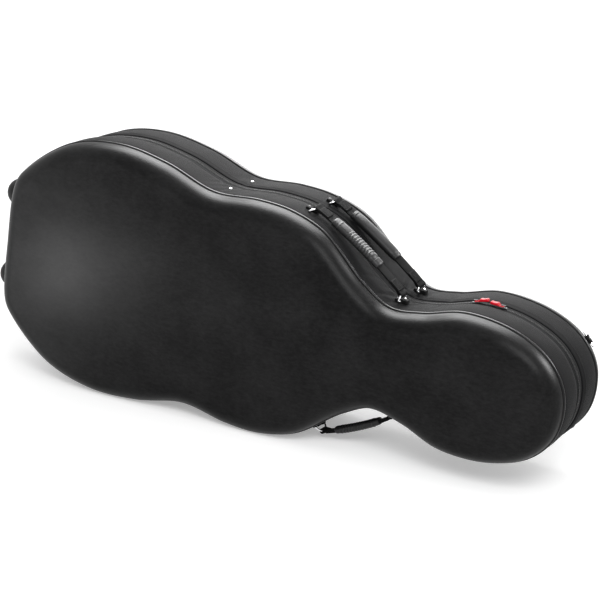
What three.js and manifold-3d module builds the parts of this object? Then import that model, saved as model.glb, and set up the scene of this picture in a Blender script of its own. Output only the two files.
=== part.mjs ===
// A hard case for a cello, lying on its hinge flank, zip and carrying handles on top.
// Millimetres. +X runs along the case to its head end, -Y is the lid, +Z is up.
// The outline of both halves is drawn in the case's own frame: x from the flat tail end,
// z across the case from its centre line, and depth outward from the zip on both halves.

import {
	Box3, BoxGeometry, BufferAttribute, BufferGeometry, CatmullRomCurve3, CylinderGeometry, ExtrudeGeometry,
	Group, LatheGeometry, Matrix4, Mesh, MeshStandardMaterial, Path, Shape, Vector2, Vector3,
} from 'three';
import { mergeVertices } from 'three/addons/utils/BufferGeometryUtils.js';
import Module from 'manifold-3d';

// Outline: shares of the length, and of half the width, from the tail end to the head end
const caseLength = 1280;
const caseWidth = 542;
const outlineShares = [
	[ 0, 0 ], [ 0.0056, 0.4896 ], [ 0.0257, 0.6305 ], [ 0.1054, 0.9031 ], [ 0.1963, 0.9979 ], [ 0.2864, 0.9585 ],
	[ 0.3779, 0.8476 ], [ 0.4601, 0.8838 ], [ 0.5198, 0.8723 ], [ 0.5796, 0.7829 ], [ 0.6555, 0.5025 ],
	[ 0.7039, 0.3877 ], [ 0.7582, 0.4210 ], [ 0.8236, 0.5161 ], [ 0.9005, 0.4975 ], [ 0.9597, 0.3791 ],
	[ 0.9915, 0.1967 ], [ 1, 0 ],
];
const waistShare = 0.42;
const stationsPerSpan = 2;

// Fits between pieces
const seatGap = 0.3;
const softGap = 0.4;
const cutOverrun = 40;

// Shells, walls and piping
const lidWallDepth = 85;
const baseWallDepth = 95;
const shellDepth = 52;
const shellThickness = 3;
const shellInset = 0.5;
const rimRadius = 38;
const wallThickness = 6;
const pipingRadius = 3.2;
const pipingInset = 1;
const pipingSides = 6;
const restFlatDepth = 1;
const spineTailShare = 0.2;
const spineHeadShare = 0.86;

// Lining
const liningThickness = 16;
const liningLip = 5;

// Zip and cloth hinge
const teethWidth = 3;
const teethInset = 1.2;
const tapeEdge = 15;
const tapeInset = 2.2;
const tapeThickness = 1.6;
const hingeClothInset = 1.1;
const hingeTailShare = 0.12;
const hingeNeckShare = 0.57;

// Zip sliders and their pulls
const tailSliderShare = 0.813;
const headSliderShare = 0.857;
const sliderLength = 15;
const sliderNarrowWidth = 7;
const sliderWideWidth = 10.5;
const sliderPlate = 2;
const sliderLift = 0.9;
const bridgeLength = 8.6;
const bridgeWidth = 2.4;
const bridgeHeight = 4.6;
const bridgeThickness = 1.3;
const pullLength = 27;
const pullWidth = 9.5;
const pullThickness = 1.8;
const pullBar = 1.7;
const pullWindowLength = 5.4;
const pullWindowWidth = 5;
const pullCorner = 2.4;

// D-rings and tabs of the carrying handles
const ringRadius = 18;
const ringWire = 2.2;
const ringClearance = 0.7;
const ringTilt = 25;
const ringSides = 6;
const bowSteps = 8;
const tabLength = 26;
const tabWidth = 14;
const tabHeight = 9.4;
const tabRoot = 6;
const tabTunnelSides = 12;

// Carrying handles
const lidHandleDepth = 42;
const baseHandleDepth = 45;
const handleTailShare = 0.5345;
const handleNeckShare = 0.7075;
const hingeHandleTailShare = 0.6;
const hingeHandleNeckShare = 0.7225;
const lidHandleLean = 20;
const baseHandleLean = 30;
const handleSwing = { lid: [ - 30, 20 ], base: [ 0, 30 ], hingeSide: [ - 30, 30 ] };
const handleSwingSteps = 4;
const handleRise = 10;
const hingeHandleRise = 6;
const webWidth = 18;
const webThickness = 4.5;
const webWrap = 2.4;
const loopInset = 7;
const loopHeight = 16.6;
const loopReach = 5.5;
const webSteps = 10;
const gripLength = 128;
const gripShift = - 13;
const hingeGripLength = 104;
const hingeGripShift = 0;
const gripWidth = 24;
const gripHeight = 17;
const gripEndShare = 0.88;
const gripSides = 8;
const ribCount = 9;
const ribPitch = 6.8;
const ribWaist = 1.4;
const ribRunTailShare = 0.31;
const sleeveSteps = 7;

// Rivets
const rivetRadius = 3.1;
const rivetHeight = 1.3;
const rivetSides = 8;
const waistRivetShare = 0.3867;
const tabRivetInset = 4;

// Feet on the tail end
const footRadius = 32;
const footHeight = 43;
const footBaseHeight = 8;
const footSpread = 93;
const lidFootDepth = 48.5;
const baseFootDepth = 56;
const footSides = 20;
const footSteps = 5;

// Backpack straps on the base shell; the places are shares of the length and of half the width
const strapRingShare = 0.9688;
const strapRingAngle = 22;
const strapRingRadius = 17;
const strapRingWire = 2;
const strapTabLength = 20;
const strapTabWidth = 18;
const strapTabHeight = 7;
const hookTurns = [ 15.5, 18.5, 26, 32, 60 ];
const hookLiftShares = [ 0.886, 1.63, 1.63, 1.14, 0.57 ];
const hookGapTurn = 3;
const padStartTurn = 76;
const hookWire = 1.8;
const strapSink = 3;
const strapEdgeShare = 0.6;
const strapCrownShare = 0.7;
const padWidth = 58;
const padThickness = 11;
const strapWebWidth = 25;
const strapWebThickness = 2.6;
const strapPlaceShares = [
	{ from: [ 0.92, 0.225 ], to: [ 0.845, 0.24 ], steps: 2, padded: false },
	{ from: [ 0.835, 0.242 ], to: [ 0.7, 0.21 ], steps: 4, padded: true },
	{ from: [ 0.66, 0.23 ], to: [ 0.5, 0.4 ], steps: 4, padded: true },
	{ from: [ 0.49, 0.41 ], to: [ 0.13, 0.6 ], steps: 7, padded: false },
];

// Foam blocks inside the base
const padFloorDepth = 21;
const tailBlockLength = 92;
const tailBlockWidth = 170;
const tailBlockDepth = 42;
const pinBoreRadius = 14;
const pinBoreDepth = 66;
const pinBoreLength = 40;
const bodyPadHeight = 27;
const bodyPadTrough = 250;
const lowerPadShare = 0.19;
const lowerPadLength = 150;
const upperPadShare = 0.53;
const upperPadLength = 110;
const cradleShare = 0.706;
const cradleLength = 52;
const cradleTopDepth = 24;
const cradleWidth = 160;
const notchWidth = 48;
const notchDepth = 44;
const notchSides = 10;
const neckStrapWidth = 36;
const neckStrapThickness = 2.6;
const neckStrapSpan = 118;

// Accessory box under the neck
const boxShare = 0.795;
const boxLength = 104;
const boxWidth = 140;
const boxTopDepth = 70;
const boxWall = 3;
const boxLidThickness = 3.2;
const boxLidOverhang = 2;
const boxKnobRadius = 4;
const boxKnobHeight = 6;
const boxKnobInset = 14;

// Bow holders and the music pocket inside the lid
const bowSpread = 112;
const toggleShare = 0.15;
const bowTipShare = 0.585;
const bowRestLength = 46;
const bowRestWidth = 80;
const bowRestTopDepth = 78;
const bowGrooveWidth = 15;
const bowGrooveDepth = 15;
const toggleLength = 46;
const toggleWidth = 13;
const toggleThickness = 4.5;
const togglePinRadius = 3;
const togglePinHeight = 2;
const pocketShare = 0.29;
const pocketLength = 210;
const pocketWidth = 170;
const pocketSheet = 3;
const pocketFloorDepth = 20;
const pocketOpening = 10;
const pocketHem = 6;

const wasm = await Module();
wasm.setup();

// Materials, one for each piece's colour and finish
const finishes = {
	shell: { color: 0x1b1b1d, roughness: 0.5, metalness: 0 },
	nylon: { color: 0x242427, roughness: 0.85, metalness: 0 },
	piping: { color: 0x1a1a1c, roughness: 0.45, metalness: 0 },
	tape: { color: 0x18181a, roughness: 0.9, metalness: 0 },
	teeth: { color: 0x2c2c30, roughness: 0.5, metalness: 0 },
	chrome: { color: 0xd9dadd, roughness: 0.15, metalness: 1 },
	pull: { color: 0xc8142c, roughness: 0.5, metalness: 0 },
	webbing: { color: 0x151516, roughness: 0.85, metalness: 0 },
	grip: { color: 0x1e1e20, roughness: 0.55, metalness: 0 },
	rubber: { color: 0x161616, roughness: 0.75, metalness: 0 },
	plush: { color: 0x4b4d55, roughness: 0.95, metalness: 0 },
	foam: { color: 0x3a3c43, roughness: 0.95, metalness: 0 },
	padding: { color: 0x1c1c1e, roughness: 0.9, metalness: 0 },
};

function mesh( name, geometry, finish ) {

	const piece = new Mesh( geometry, new MeshStandardMaterial( finishes[ finish ] ) );
	piece.name = name;
	return piece;

}

// A closed mesh from its corners and triangles, turned so that its faces point out
function closedGeometry( points, faces ) {

	let volume = 0;
	for ( const [ a, b, c ] of faces ) volume += points[ a ].dot( points[ b ].clone().cross( points[ c ] ) );
	const index = faces.flatMap( ( [ a, b, c ] ) => ( volume > 0 ? [ a, b, c ] : [ a, c, b ] ) );
	const geometry = new BufferGeometry();
	const places = new Float32Array( points.flatMap( ( p ) => p.toArray() ) );
	geometry.setAttribute( 'position', new BufferAttribute( places, 3 ) );
	geometry.setIndex( index );
	return geometry;

}

function fanCap( count ) {

	return Array.from( { length: count - 2 }, ( _, k ) => [ 0, k + 1, k + 2 ] );

}

// Joins each station of the outline to its mirror image, from the tail end to the head end
function ladderCap( count ) {

	const faces = [];
	for ( let i = 0; i < count / 2; i ++ ) {

		const mirror = ( count - i ) % count;
		const nextMirror = count - i - 1;
		if ( i > 0 ) faces.push( [ i, i + 1, mirror ] );
		if ( nextMirror !== i + 1 ) faces.push( [ i + 1, nextMirror, mirror ] );

	}

	return faces;

}

// A skin over rings of corners: either closed on itself, or with a cap on each end
function loft( rings, cap ) {

	const count = rings[ 0 ].length;
	const faces = [];
	const bands = cap ? rings.length - 1 : rings.length;
	for ( let r = 0; r < bands; r ++ ) {

		const near = r * count;
		const far = ( ( r + 1 ) % rings.length ) * count;
		for ( let k = 0; k < count; k ++ ) {

			const next = ( k + 1 ) % count;
			faces.push( [ near + k, near + next, far + next ], [ near + k, far + next, far + k ] );

		}

	}

	if ( cap ) {

		const last = ( rings.length - 1 ) * count;
		for ( const [ a, b, c ] of cap( count ) ) faces.push( [ a, c, b ], [ last + a, last + b, last + c ] );

	}

	return closedGeometry( rings.flat(), faces );

}

function manifoldOf( geometry ) {

	const bare = geometry.clone();
	bare.deleteAttribute( 'normal' );
	bare.deleteAttribute( 'uv' );
	const merged = mergeVertices( bare );
	return new wasm.Manifold( new wasm.Mesh( {
		numProp: 3,
		vertProperties: new Float32Array( merged.attributes.position.array ),
		triVerts: new Uint32Array( merged.index.array ),
	} ) );

}

function geometryOf( solid ) {

	const result = solid.getMesh();
	const geometry = new BufferGeometry();
	geometry.setAttribute( 'position', new BufferAttribute( result.vertProperties, 3 ) );
	geometry.setIndex( new BufferAttribute( result.triVerts, 1 ) );
	return geometry;

}

function cut( geometry, ...tools ) {

	let solid = manifoldOf( geometry );
	for ( const tool of tools ) solid = solid.subtract( manifoldOf( tool ) );
	return geometryOf( solid );

}

function join( geometry, ...others ) {

	let solid = manifoldOf( geometry );
	for ( const other of others ) solid = solid.add( manifoldOf( other ) );
	return geometryOf( solid );

}

function box( sizeX, sizeY, sizeZ, x = 0, y = 0, z = 0 ) {

	return new BoxGeometry( sizeX, sizeY, sizeZ ).translate( x, y, z );

}

// Stations round the outline, each with its place and its outward direction
const halfWidth = caseWidth / 2;
const mirroredShares = outlineShares.slice( 1, - 1 ).reverse()
	.map( ( [ along, across ] ) => [ along, - across ] );
const outlineCurve = new CatmullRomCurve3(
	[ ...outlineShares, ...mirroredShares ].map( ( [ along, across ] ) => (
		new Vector3( along * caseLength, 0, across * halfWidth ) ) ),
	true, 'centripetal' );
const stationCount = ( outlineShares.length + mirroredShares.length ) * stationsPerSpan;
const stations = Array.from( { length: stationCount }, ( _, i ) => {

	const tangent = outlineCurve.getTangent( i / stationCount );
	return { place: outlineCurve.getPoint( i / stationCount ), out: new Vector3( - tangent.z, 0, tangent.x ) };

} );

// The floor touches the hinge flank at the lower and the upper bout
const lowFlank = stations.slice( stationCount / 2 ).map( ( s ) => s.place );
const waistX = waistShare * caseLength;
let restTail, restHead;
let lowest = Infinity;
for ( const tail of lowFlank.filter( ( p ) => p.x < waistX ) ) {

	for ( const head of lowFlank.filter( ( p ) => p.x > waistX ) ) {

		const height = tail.z + ( head.z - tail.z ) * ( waistX - tail.x ) / ( head.x - tail.x );
		if ( height < lowest ) [ lowest, restTail, restHead ] = [ height, tail, head ];

	}

}

const tilt = Math.atan2( restHead.z - restTail.z, restHead.x - restTail.x );
const floorUp = new Vector3( - Math.sin( tilt ), 0, Math.cos( tilt ) );
const floorPlace = restTail.clone().addScaledVector( floorUp, restFlatDepth );
const belowFloor = box( 3 * caseLength, 3 * caseWidth, caseWidth, 0, 0, - caseWidth / 2 )
	.rotateY( - tilt ).translate( floorPlace.x, 0, floorPlace.z );

function restingOnFloor( geometry ) {

	return cut( geometry, belowFloor );

}

// The lid is on the -Y side of the zip and the base on the +Y side
const lid = { name: 'lid', side: - 1, wallDepth: lidWallDepth };
const base = { name: 'base', side: 1, wallDepth: baseWallDepth };

function corner( half, station, inset, depth ) {

	return station.place.clone().addScaledVector( station.out, - inset ).setY( half.side * depth );

}

function ring( half, inset, depth ) {

	return stations.map( ( station ) => corner( half, station, inset, depth ) );

}

// A ring drawn in from the rim towards the centre line, on the gentle dome of the face
function domeRing( half, inset, share, depth, rise ) {

	return ring( half, inset, depth + rise * ( 1 - ( 1 - share ) ** 2 ) ).map( ( point ) => {

		const spineX = Math.min( Math.max( point.x, spineTailShare * caseLength ), spineHeadShare * caseLength );
		const spine = new Vector3( spineX, point.y, 0 );
		return point.lerp( spine, share );

	} );

}

// Rings over the rounded rim and the dome, for a skin that lies this far under the outer face
function faceRings( half, under, rimAngles, domeShares ) {

	const rimStart = half.wallDepth + pipingRadius + seatGap;
	const centreInset = shellInset + rimRadius;
	const radius = rimRadius - under;
	const rise = shellDepth - rimRadius - pipingRadius - seatGap;
	return [
		...rimAngles.map( ( angle ) => ring( half, centreInset - radius * Math.cos( angle ),
			rimStart + radius * Math.sin( angle ) ) ),
		...domeShares.map( ( share ) => domeRing( half, centreInset, share, rimStart + radius, rise ) ),
	];

}

const rimAngles = [ 0, Math.PI / 6, Math.PI / 3, Math.PI / 2 ];
const domeShares = [ 0.42, 0.85 ];
const innerRimAngles = [ 0, Math.PI / 4, Math.PI / 2 ];
const innerDomeShares = [ 0.85 ];
const liningRimAngles = [ 0, Math.PI / 2 ];
const liningDomeShares = [ 0.8 ];

// The whole outside of a half, grown by the gap that what sits on it keeps
function outsideOf( half ) {

	return loft( [
		...faceRings( half, - seatGap, rimAngles, domeShares ).reverse(),
		ring( half, - seatGap, half.wallDepth ),
		ring( half, - seatGap, - cutOverrun / 2 ),
	], ladderCap );

}

// The space inside a half's lining, less the gap that what lies in it keeps
function insideOf( half ) {

	const under = liningInset - shellInset + liningThickness + seatGap;
	return loft( [
		ring( half, liningInset + liningThickness + seatGap, - cutOverrun ),
		...faceRings( half, under, liningRimAngles, liningDomeShares ),
	], ladderCap );

}

function seated( geometry, half ) {

	return geometryOf( manifoldOf( geometry ).subtract( half.outside ) );

}

function fitted( geometry, half ) {

	return geometryOf( manifoldOf( geometry ).intersect( half.inside ) );

}

const liningInset = wallThickness + softGap;
for ( const half of [ lid, base ] ) {

	half.outside = manifoldOf( outsideOf( half ) );
	half.inside = manifoldOf( insideOf( half ) );

}

function shellOf( half ) {

	const outer = faceRings( half, 0, rimAngles, domeShares );
	const inner = faceRings( half, shellThickness, innerRimAngles, innerDomeShares );
	return restingOnFloor( loft( [ ...outer.reverse(), ...inner ], ladderCap ) );

}

function liningOf( half ) {

	const outer = faceRings( half, liningInset - shellInset, liningRimAngles, liningDomeShares );
	const inner = faceRings( half, liningInset - shellInset + liningThickness, liningRimAngles, liningDomeShares );
	return loft( [
		...outer.reverse(),
		ring( half, liningInset, liningLip ),
		ring( half, liningInset + liningThickness, liningLip ),
		...inner,
	], ladderCap );

}

function band( half, nearInset, farInset, nearDepth, farDepth ) {

	return loft( [
		ring( half, nearInset, nearDepth ), ring( half, nearInset, farDepth ),
		ring( half, farInset, farDepth ), ring( half, farInset, nearDepth ),
	] );

}

function pipingOf( half ) {

	const rings = Array.from( { length: pipingSides }, ( _, k ) => {

		const angle = 2 * Math.PI * k / pipingSides;
		return ring( half, pipingInset + pipingRadius * Math.cos( angle ),
			half.wallDepth + pipingRadius * Math.sin( angle ) );

	} );
	return restingOnFloor( loft( rings ) );

}

// The cloth hinge takes the hinge flank between the bouts, and the zip takes the rest
const hingeFirst = stations.findIndex( ( s, i ) => (
	i > stationCount / 2 && s.place.x < hingeNeckShare * caseLength ) );
const hingeLast = stations.findLastIndex( ( s ) => s.place.x > hingeTailShare * caseLength );
const hingeStations = stations.slice( hingeFirst, hingeLast + 1 );
const zipStations = [ ...stations.slice( hingeLast ), ...stations.slice( 0, hingeFirst + 1 ) ];

function strip( half, run, section ) {

	const rings = run.map( ( station ) => (
		section.map( ( [ inset, depth ] ) => corner( half, station, inset, depth ) ) ) );
	const shorten = ( end, next ) => end.forEach( ( point, k ) => {

		point.addScaledVector( next[ k ].clone().sub( point ).normalize(), seatGap );

	} );
	shorten( rings[ 0 ], rings[ 1 ] );
	shorten( rings.at( - 1 ), rings.at( - 2 ) );
	return loft( rings, fanCap );

}

// One half of the zip: a woven tape with its coil of teeth along the edge
function zipHalf( half ) {

	const section = [
		[ tapeInset, teethWidth ], [ tapeInset, tapeEdge ], [ tapeInset + tapeThickness, tapeEdge ],
		[ tapeInset + tapeThickness, seatGap / 2 ], [ teethInset, seatGap / 2 ], [ teethInset, teethWidth ],
	];
	return strip( half, zipStations, section );

}

function clothHinge( half ) {

	const inner = hingeClothInset + tapeThickness;
	return restingOnFloor( strip( half, hingeStations, [
		[ hingeClothInset, seatGap / 2 ], [ hingeClothInset, tapeEdge ], [ inner, tapeEdge ], [ inner, seatGap / 2 ],
	] ) );

}

function shellPieces( half ) {

	const wallStart = tapeEdge + seatGap;
	const wallEnd = half.wallDepth - pipingRadius - seatGap;
	return [
		mesh( `${half.name}_shell`, shellOf( half ), 'shell' ),
		mesh( `${half.name}_wall`, restingOnFloor( band( half, 0, wallThickness, wallStart, wallEnd ) ), 'nylon' ),
		mesh( `${half.name}_piping`, pipingOf( half ), 'piping' ),
		mesh( `${half.name}_lining`, liningOf( half ), 'plush' ),
		mesh( `${half.name}_zip_tape`, zipHalf( half ), 'tape' ),
		mesh( `${half.name}_hinge_cloth`, clothHinge( half ), 'nylon' ),
	];

}

// A place on the zip flank (side 1) or the hinge flank (side -1), with its directions
function flankFrame( share, side ) {

	const x = share * caseLength;
	const top = stations.slice( 0, stationCount / 2 + 1 );
	const next = top.findIndex( ( s, i ) => i > 1 && s.place.x > x );
	const from = top[ next - 1 ].place;
	const to = top[ next ].place;
	const place = from.clone().lerp( to, ( x - from.x ) / ( to.x - from.x ) );
	const along = to.clone().sub( from ).normalize();
	const out = new Vector3( - along.z, 0, along.x );
	for ( const vector of [ place, along, out ] ) vector.z *= side;
	return { place, along, out };

}

// Moves a geometry from a local frame to the case's frame, right-handed by local Y
function placed( geometry, origin, xAxis, zAxis ) {

	const yAxis = zAxis.clone().cross( xAxis );
	return geometry.applyMatrix4( new Matrix4().makeBasis( xAxis, yAxis, zAxis ).setPosition( origin ) );

}

function onFlank( geometry, frame, depth, half, height = 0 ) {

	const origin = frame.place.clone().addScaledVector( frame.out, height ).setY( half.side * depth );
	return placed( geometry, origin, frame.along, frame.out );

}

// A round tube through points that lie in one plane across the given sideways direction
function tube( points, radius, sides, sideways, closed = false ) {

	const count = points.length;
	const rings = points.map( ( point, i ) => {

		const before = points[ closed ? ( i + count - 1 ) % count : Math.max( i - 1, 0 ) ];
		const after = points[ closed ? ( i + 1 ) % count : Math.min( i + 1, count - 1 ) ];
		const lift = after.clone().sub( before ).normalize().cross( sideways ).normalize();
		return Array.from( { length: sides }, ( _, k ) => {

			const angle = 2 * Math.PI * ( k + 1 / 2 ) / sides;
			return point.clone().addScaledVector( sideways, radius * Math.cos( angle ) )
				.addScaledVector( lift, radius * Math.sin( angle ) );

		} );

	} );
	return loft( rings, closed ? undefined : fanCap );

}

// A D-ring: its bar lies along local Y and its bow stands up in local Z
function dRing( radius, wire ) {

	const points = Array.from( { length: bowSteps + 1 }, ( _, k ) => {

		const angle = Math.PI * k / bowSteps;
		return new Vector3( 0, radius * Math.cos( angle ), radius * Math.sin( angle ) );

	} );
	return tube( points, wire, ringSides, new Vector3( 1, 0, 0 ), true );

}

// A dome-headed rivet, standing up in local Z
function rivet() {

	const profile = [
		new Vector2( 0, - rivetHeight ), new Vector2( rivetRadius, - rivetHeight ),
		new Vector2( rivetRadius, rivetHeight / 2 ), new Vector2( rivetRadius / 2, rivetHeight ),
		new Vector2( 0, rivetHeight ),
	];
	return new LatheGeometry( profile, rivetSides ).rotateX( Math.PI / 2 );

}

// A riveted tab of folded webbing with a tunnel for a ring's bar, its root left long to be cut to its seat
function ringTab( length, width, height, wire ) {

	const tunnel = new CylinderGeometry( wire + seatGap, wire + seatGap, width + cutOverrun, tabTunnelSides );
	const body = box( length, width, height + tabRoot, 0, 0, ( height - tabRoot ) / 2 );
	const rivets = [ - 1, 1 ].map( ( end ) => (
		rivet().translate( end * ( length / 2 - tabRivetInset ), 0, height ) ) );
	return cut( join( body, ...rivets ), tunnel.translate( 0, 0, height / 2 ) );

}

// How high the handle's arch stands over the line through its rings' bars
function handleHeight( x, half, rise ) {

	return loopHeight + rise * ( 1 - ( x / ( half - loopInset ) ) ** 2 );

}

// A handle's D-ring at one end of the line through the bars, its bow lying towards the middle
function handleRing( x, wire ) {

	return dRing( ringRadius, wire ).rotateY( - Math.sign( x ) * ringTilt * Math.PI / 180 ).translate( x, 0, 0 );

}

// A flat band along the handle's arch, grown all round by the given room
function handleBand( half, rise, reach, room ) {

	const rings = Array.from( { length: webSteps + 1 }, ( _, k ) => {

		const x = reach * ( 2 * k / webSteps - 1 );
		const y = webWidth / 2 + room;
		const z = handleHeight( x, half, rise );
		const t = webThickness / 2 + room;
		return [ [ - y, - t ], [ y, - t ], [ y, t ], [ - y, t ] ].map( ( [ across, up ] ) => (
			new Vector3( x, across, z + up ) ) );

	} );
	return loft( rings, fanCap );

}

// The webbing, folded at each end round its ring's bow, along which it slides as the handle swings
function webbingSolid( half, rise, swing ) {

	const reach = half - loopInset;
	const loops = [ - reach, reach ].map( ( x ) => (
		box( 2 * loopReach, webWidth, 2 * loopReach, x, 0, loopHeight ) ) );
	const bows = Array.from( { length: handleSwingSteps + 1 }, ( _, k ) => {

		const lean = swing[ 0 ] + ( swing[ 1 ] - swing[ 0 ] ) * k / handleSwingSteps;
		const angle = - lean * Math.PI / 180;
		return [ - half, half ].map( ( x ) => handleRing( x, ringWire + ringClearance ).rotateX( angle ) );

	} ).flat();
	return cut( join( handleBand( half, rise, reach, 0 ), ...loops ), ...bows );

}

// Rings of a grip along the handle's arch, each with its place and its share of the full girth
function gripSolid( half, rise, shift, girths ) {

	const rings = girths.map( ( [ place, girth ] ) => Array.from( { length: gripSides }, ( _, k ) => {

		const x = place + shift;
		const angle = 2 * Math.PI * ( k + 1 / 2 ) / gripSides;
		return new Vector3( x, girth * gripWidth / 2 * Math.cos( angle ),
			handleHeight( x, half, rise ) + girth * gripHeight / 2 * Math.sin( angle ) );

	} ) );
	return cut( loft( rings, fanCap ), handleBand( half, rise, half - loopInset, seatGap ) );

}

// A moulded grip with finger ribs towards the tail end and a plain length towards the head end
function ribbedGirths( length ) {

	const start = - length / 2 + ribRunTailShare * length;
	const waist = 1 - 2 * ribWaist / gripWidth;
	const girths = [ [ - length / 2, gripEndShare ], [ start, waist ] ];
	for ( let k = 0; k < ribCount; k ++ ) {

		const place = start + k * ribPitch;
		girths.push( [ place + ribPitch / 3, 1 ], [ place + 2 * ribPitch / 3, 1 ], [ place + ribPitch, waist ] );

	}

	girths.push( [ length / 2, gripEndShare ] );
	return girths;

}

// A plain padded sleeve, drawn in at both ends
function sleeveGirths( length ) {

	return Array.from( { length: sleeveSteps }, ( _, k ) => {

		const share = 2 * k / ( sleeveSteps - 1 ) - 1;
		return [ share * length / 2, gripEndShare + ( 1 - gripEndShare ) * ( 1 - share ** 4 ) ];

	} );

}

// A handle between two D-rings on one flank; it swings about the line through the rings' bars
function handlePieces( { name, half, depth, side, tailShare, neckShare, length, shift, rise, lean, swing, girths } ) {

	const ends = [ flankFrame( tailShare, side ), flankFrame( neckShare, side ) ];
	const bars = ends.map( ( frame ) => frame.place.clone().addScaledVector( frame.out, tabHeight / 2 ) );
	const chord = bars[ 1 ].clone().sub( bars[ 0 ] );
	const middle = bars[ 0 ].clone().addScaledVector( chord, 1 / 2 ).setY( half.side * depth );
	const along = chord.clone().normalize().multiplyScalar( side );
	const out = along.clone().cross( new Vector3( 0, 1, 0 ) );
	const span = chord.length() / 2;
	const swung = ( geometry ) => placed( geometry.rotateX( lean * Math.PI / 180 ), middle, along, out );
	const fixtures = [ 'tail', 'neck' ].flatMap( ( end, k ) => {

		const ringSolid = handleRing( side * ( 2 * k - 1 ) * span, ringWire );
		const tab = onFlank( ringTab( tabLength, tabWidth, tabHeight, ringWire ), ends[ k ], depth, half );
		return [
			mesh( `${name}_${end}_ring`, placed( ringSolid, middle, along, out ), 'chrome' ),
			mesh( `${name}_${end}_tab`, seated( tab, half ), 'webbing' ),
		];

	} );
	return [
		...fixtures,
		mesh( `${name}_webbing`, swung( webbingSolid( span, rise, swing ) ), 'webbing' ),
		mesh( `${name}_grip`, swung( gripSolid( span, rise, shift, girths( length ) ) ), 'grip' ),
	];

}

// A dome-headed rivet through the wall on the zip flank, by the waist
function waistRivet( half, depth ) {

	const geometry = onFlank( rivet(), flankFrame( waistRivetShare, 1 ), depth, half );
	return mesh( `${half.name}_waist_rivet`, seated( geometry, half ), 'chrome' );

}

// A rubber foot: a base disc and a dome, pointing away from the tail end
function footPiece( name, half, depth, height ) {

	const profile = [ new Vector2( 0, - footBaseHeight ), new Vector2( footRadius, - footBaseHeight ) ];
	for ( let k = 0; k <= footSteps; k ++ ) {

		const angle = Math.PI / 2 * k / footSteps;
		const reach = k === footSteps ? 0 : footRadius * Math.cos( angle );
		profile.push( new Vector2( reach, footBaseHeight + ( footHeight - footBaseHeight ) * Math.sin( angle ) ) );

	}

	const foot = new LatheGeometry( profile, footSides ).rotateZ( Math.PI / 2 );
	return mesh( name, seated( foot.translate( 0, half.side * depth, height ), half ), 'rubber' );

}

// A zip slider with the bridge that holds its pull; local X points along the zip
function sliderSolid() {

	const [ reach, narrow, wide ] = [ sliderLength / 2, sliderNarrowWidth / 2, sliderWideWidth / 2 ];
	const plan = new Shape( [
		new Vector2( - reach, - narrow ), new Vector2( reach, - wide ),
		new Vector2( reach, wide ), new Vector2( - reach, narrow ),
	] );
	const plate = new ExtrudeGeometry( plan, { depth: sliderPlate, bevelEnabled: false } );
	const arch = box( bridgeLength, bridgeWidth, bridgeHeight, 0, 0, sliderPlate + bridgeHeight / 2 - seatGap );
	const eyeHeight = bridgeHeight - bridgeThickness - seatGap;
	const eye = box( bridgeLength - 2 * bridgeThickness, bridgeWidth + cutOverrun, eyeHeight,
		0, 0, sliderPlate + eyeHeight / 2 );
	return join( plate, cut( arch, eye ) );

}

// A pull: its bar passes under the bridge, and its window lets the bridge's leg through
function pullSolid() {

	const halfPull = pullWidth / 2;
	const farEnd = pullLength - pullCorner;
	const plan = new Shape();
	plan.moveTo( - pullBar / 2, - halfPull );
	plan.lineTo( farEnd, - halfPull );
	plan.lineTo( pullLength, - halfPull + pullCorner );
	plan.lineTo( pullLength, halfPull - pullCorner );
	plan.lineTo( farEnd, halfPull );
	plan.lineTo( - pullBar / 2, halfPull );
	const window = new Path( [
		new Vector2( pullBar / 2, - pullWindowWidth / 2 ), new Vector2( pullBar / 2, pullWindowWidth / 2 ),
		new Vector2( pullBar / 2 + pullWindowLength, pullWindowWidth / 2 ),
		new Vector2( pullBar / 2 + pullWindowLength, - pullWindowWidth / 2 ),
	] );
	plan.holes.push( window );
	return new ExtrudeGeometry( plan, { depth: pullThickness, bevelEnabled: false } );

}

function sliderPieces( name, share, facing ) {

	const frame = flankFrame( share, 1 );
	const place = ( geometry ) => onFlank( facing > 0 ? geometry : geometry.rotateZ( Math.PI ),
		frame, 0, lid, sliderLift - teethInset );
	const pullHeight = sliderPlate + ( bridgeHeight - bridgeThickness - seatGap - pullThickness ) / 2;
	return [
		mesh( `${name}_slider`, place( sliderSolid() ), 'chrome' ),
		mesh( `${name}_pull`, place( pullSolid().translate( 0, 0, pullHeight ) ), 'pull' ),
	];

}

// A place over the rounded rim of the base shell, at an angle from the wall round to the face
function rimFrame( share, side, degrees, lift = 0 ) {

	const flank = flankFrame( share, side );
	const angle = degrees * Math.PI / 180;
	const inset = shellInset + rimRadius - ( rimRadius + lift ) * Math.cos( angle );
	const depth = baseWallDepth + pipingRadius + seatGap + ( rimRadius + lift ) * Math.sin( angle );
	const turned = ( turn ) => flank.out.clone().multiplyScalar( Math.cos( turn ) ).setY( Math.sin( turn ) );
	return {
		place: flank.place.clone().addScaledVector( flank.out, - inset ).setY( depth ),
		out: turned( angle ), over: turned( angle + Math.PI / 2 ), along: flank.along,
	};

}

// The facets of the base's face, and the depth of the one under a place
const outsideMesh = outsideOf( base );
const outsideCorners = Array.from( { length: outsideMesh.attributes.position.count }, ( _, i ) => (
	new Vector3().fromBufferAttribute( outsideMesh.attributes.position, i ) ) );
const faceFacets = Array.from( { length: outsideMesh.index.count / 3 }, ( _, f ) => (
	[ 0, 1, 2 ].map( ( k ) => outsideCorners[ outsideMesh.index.getX( 3 * f + k ) ] ) ) )
	.filter( ( facet ) => Math.min( ...facet.map( ( p ) => p.y ) ) > baseWallDepth );

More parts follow.
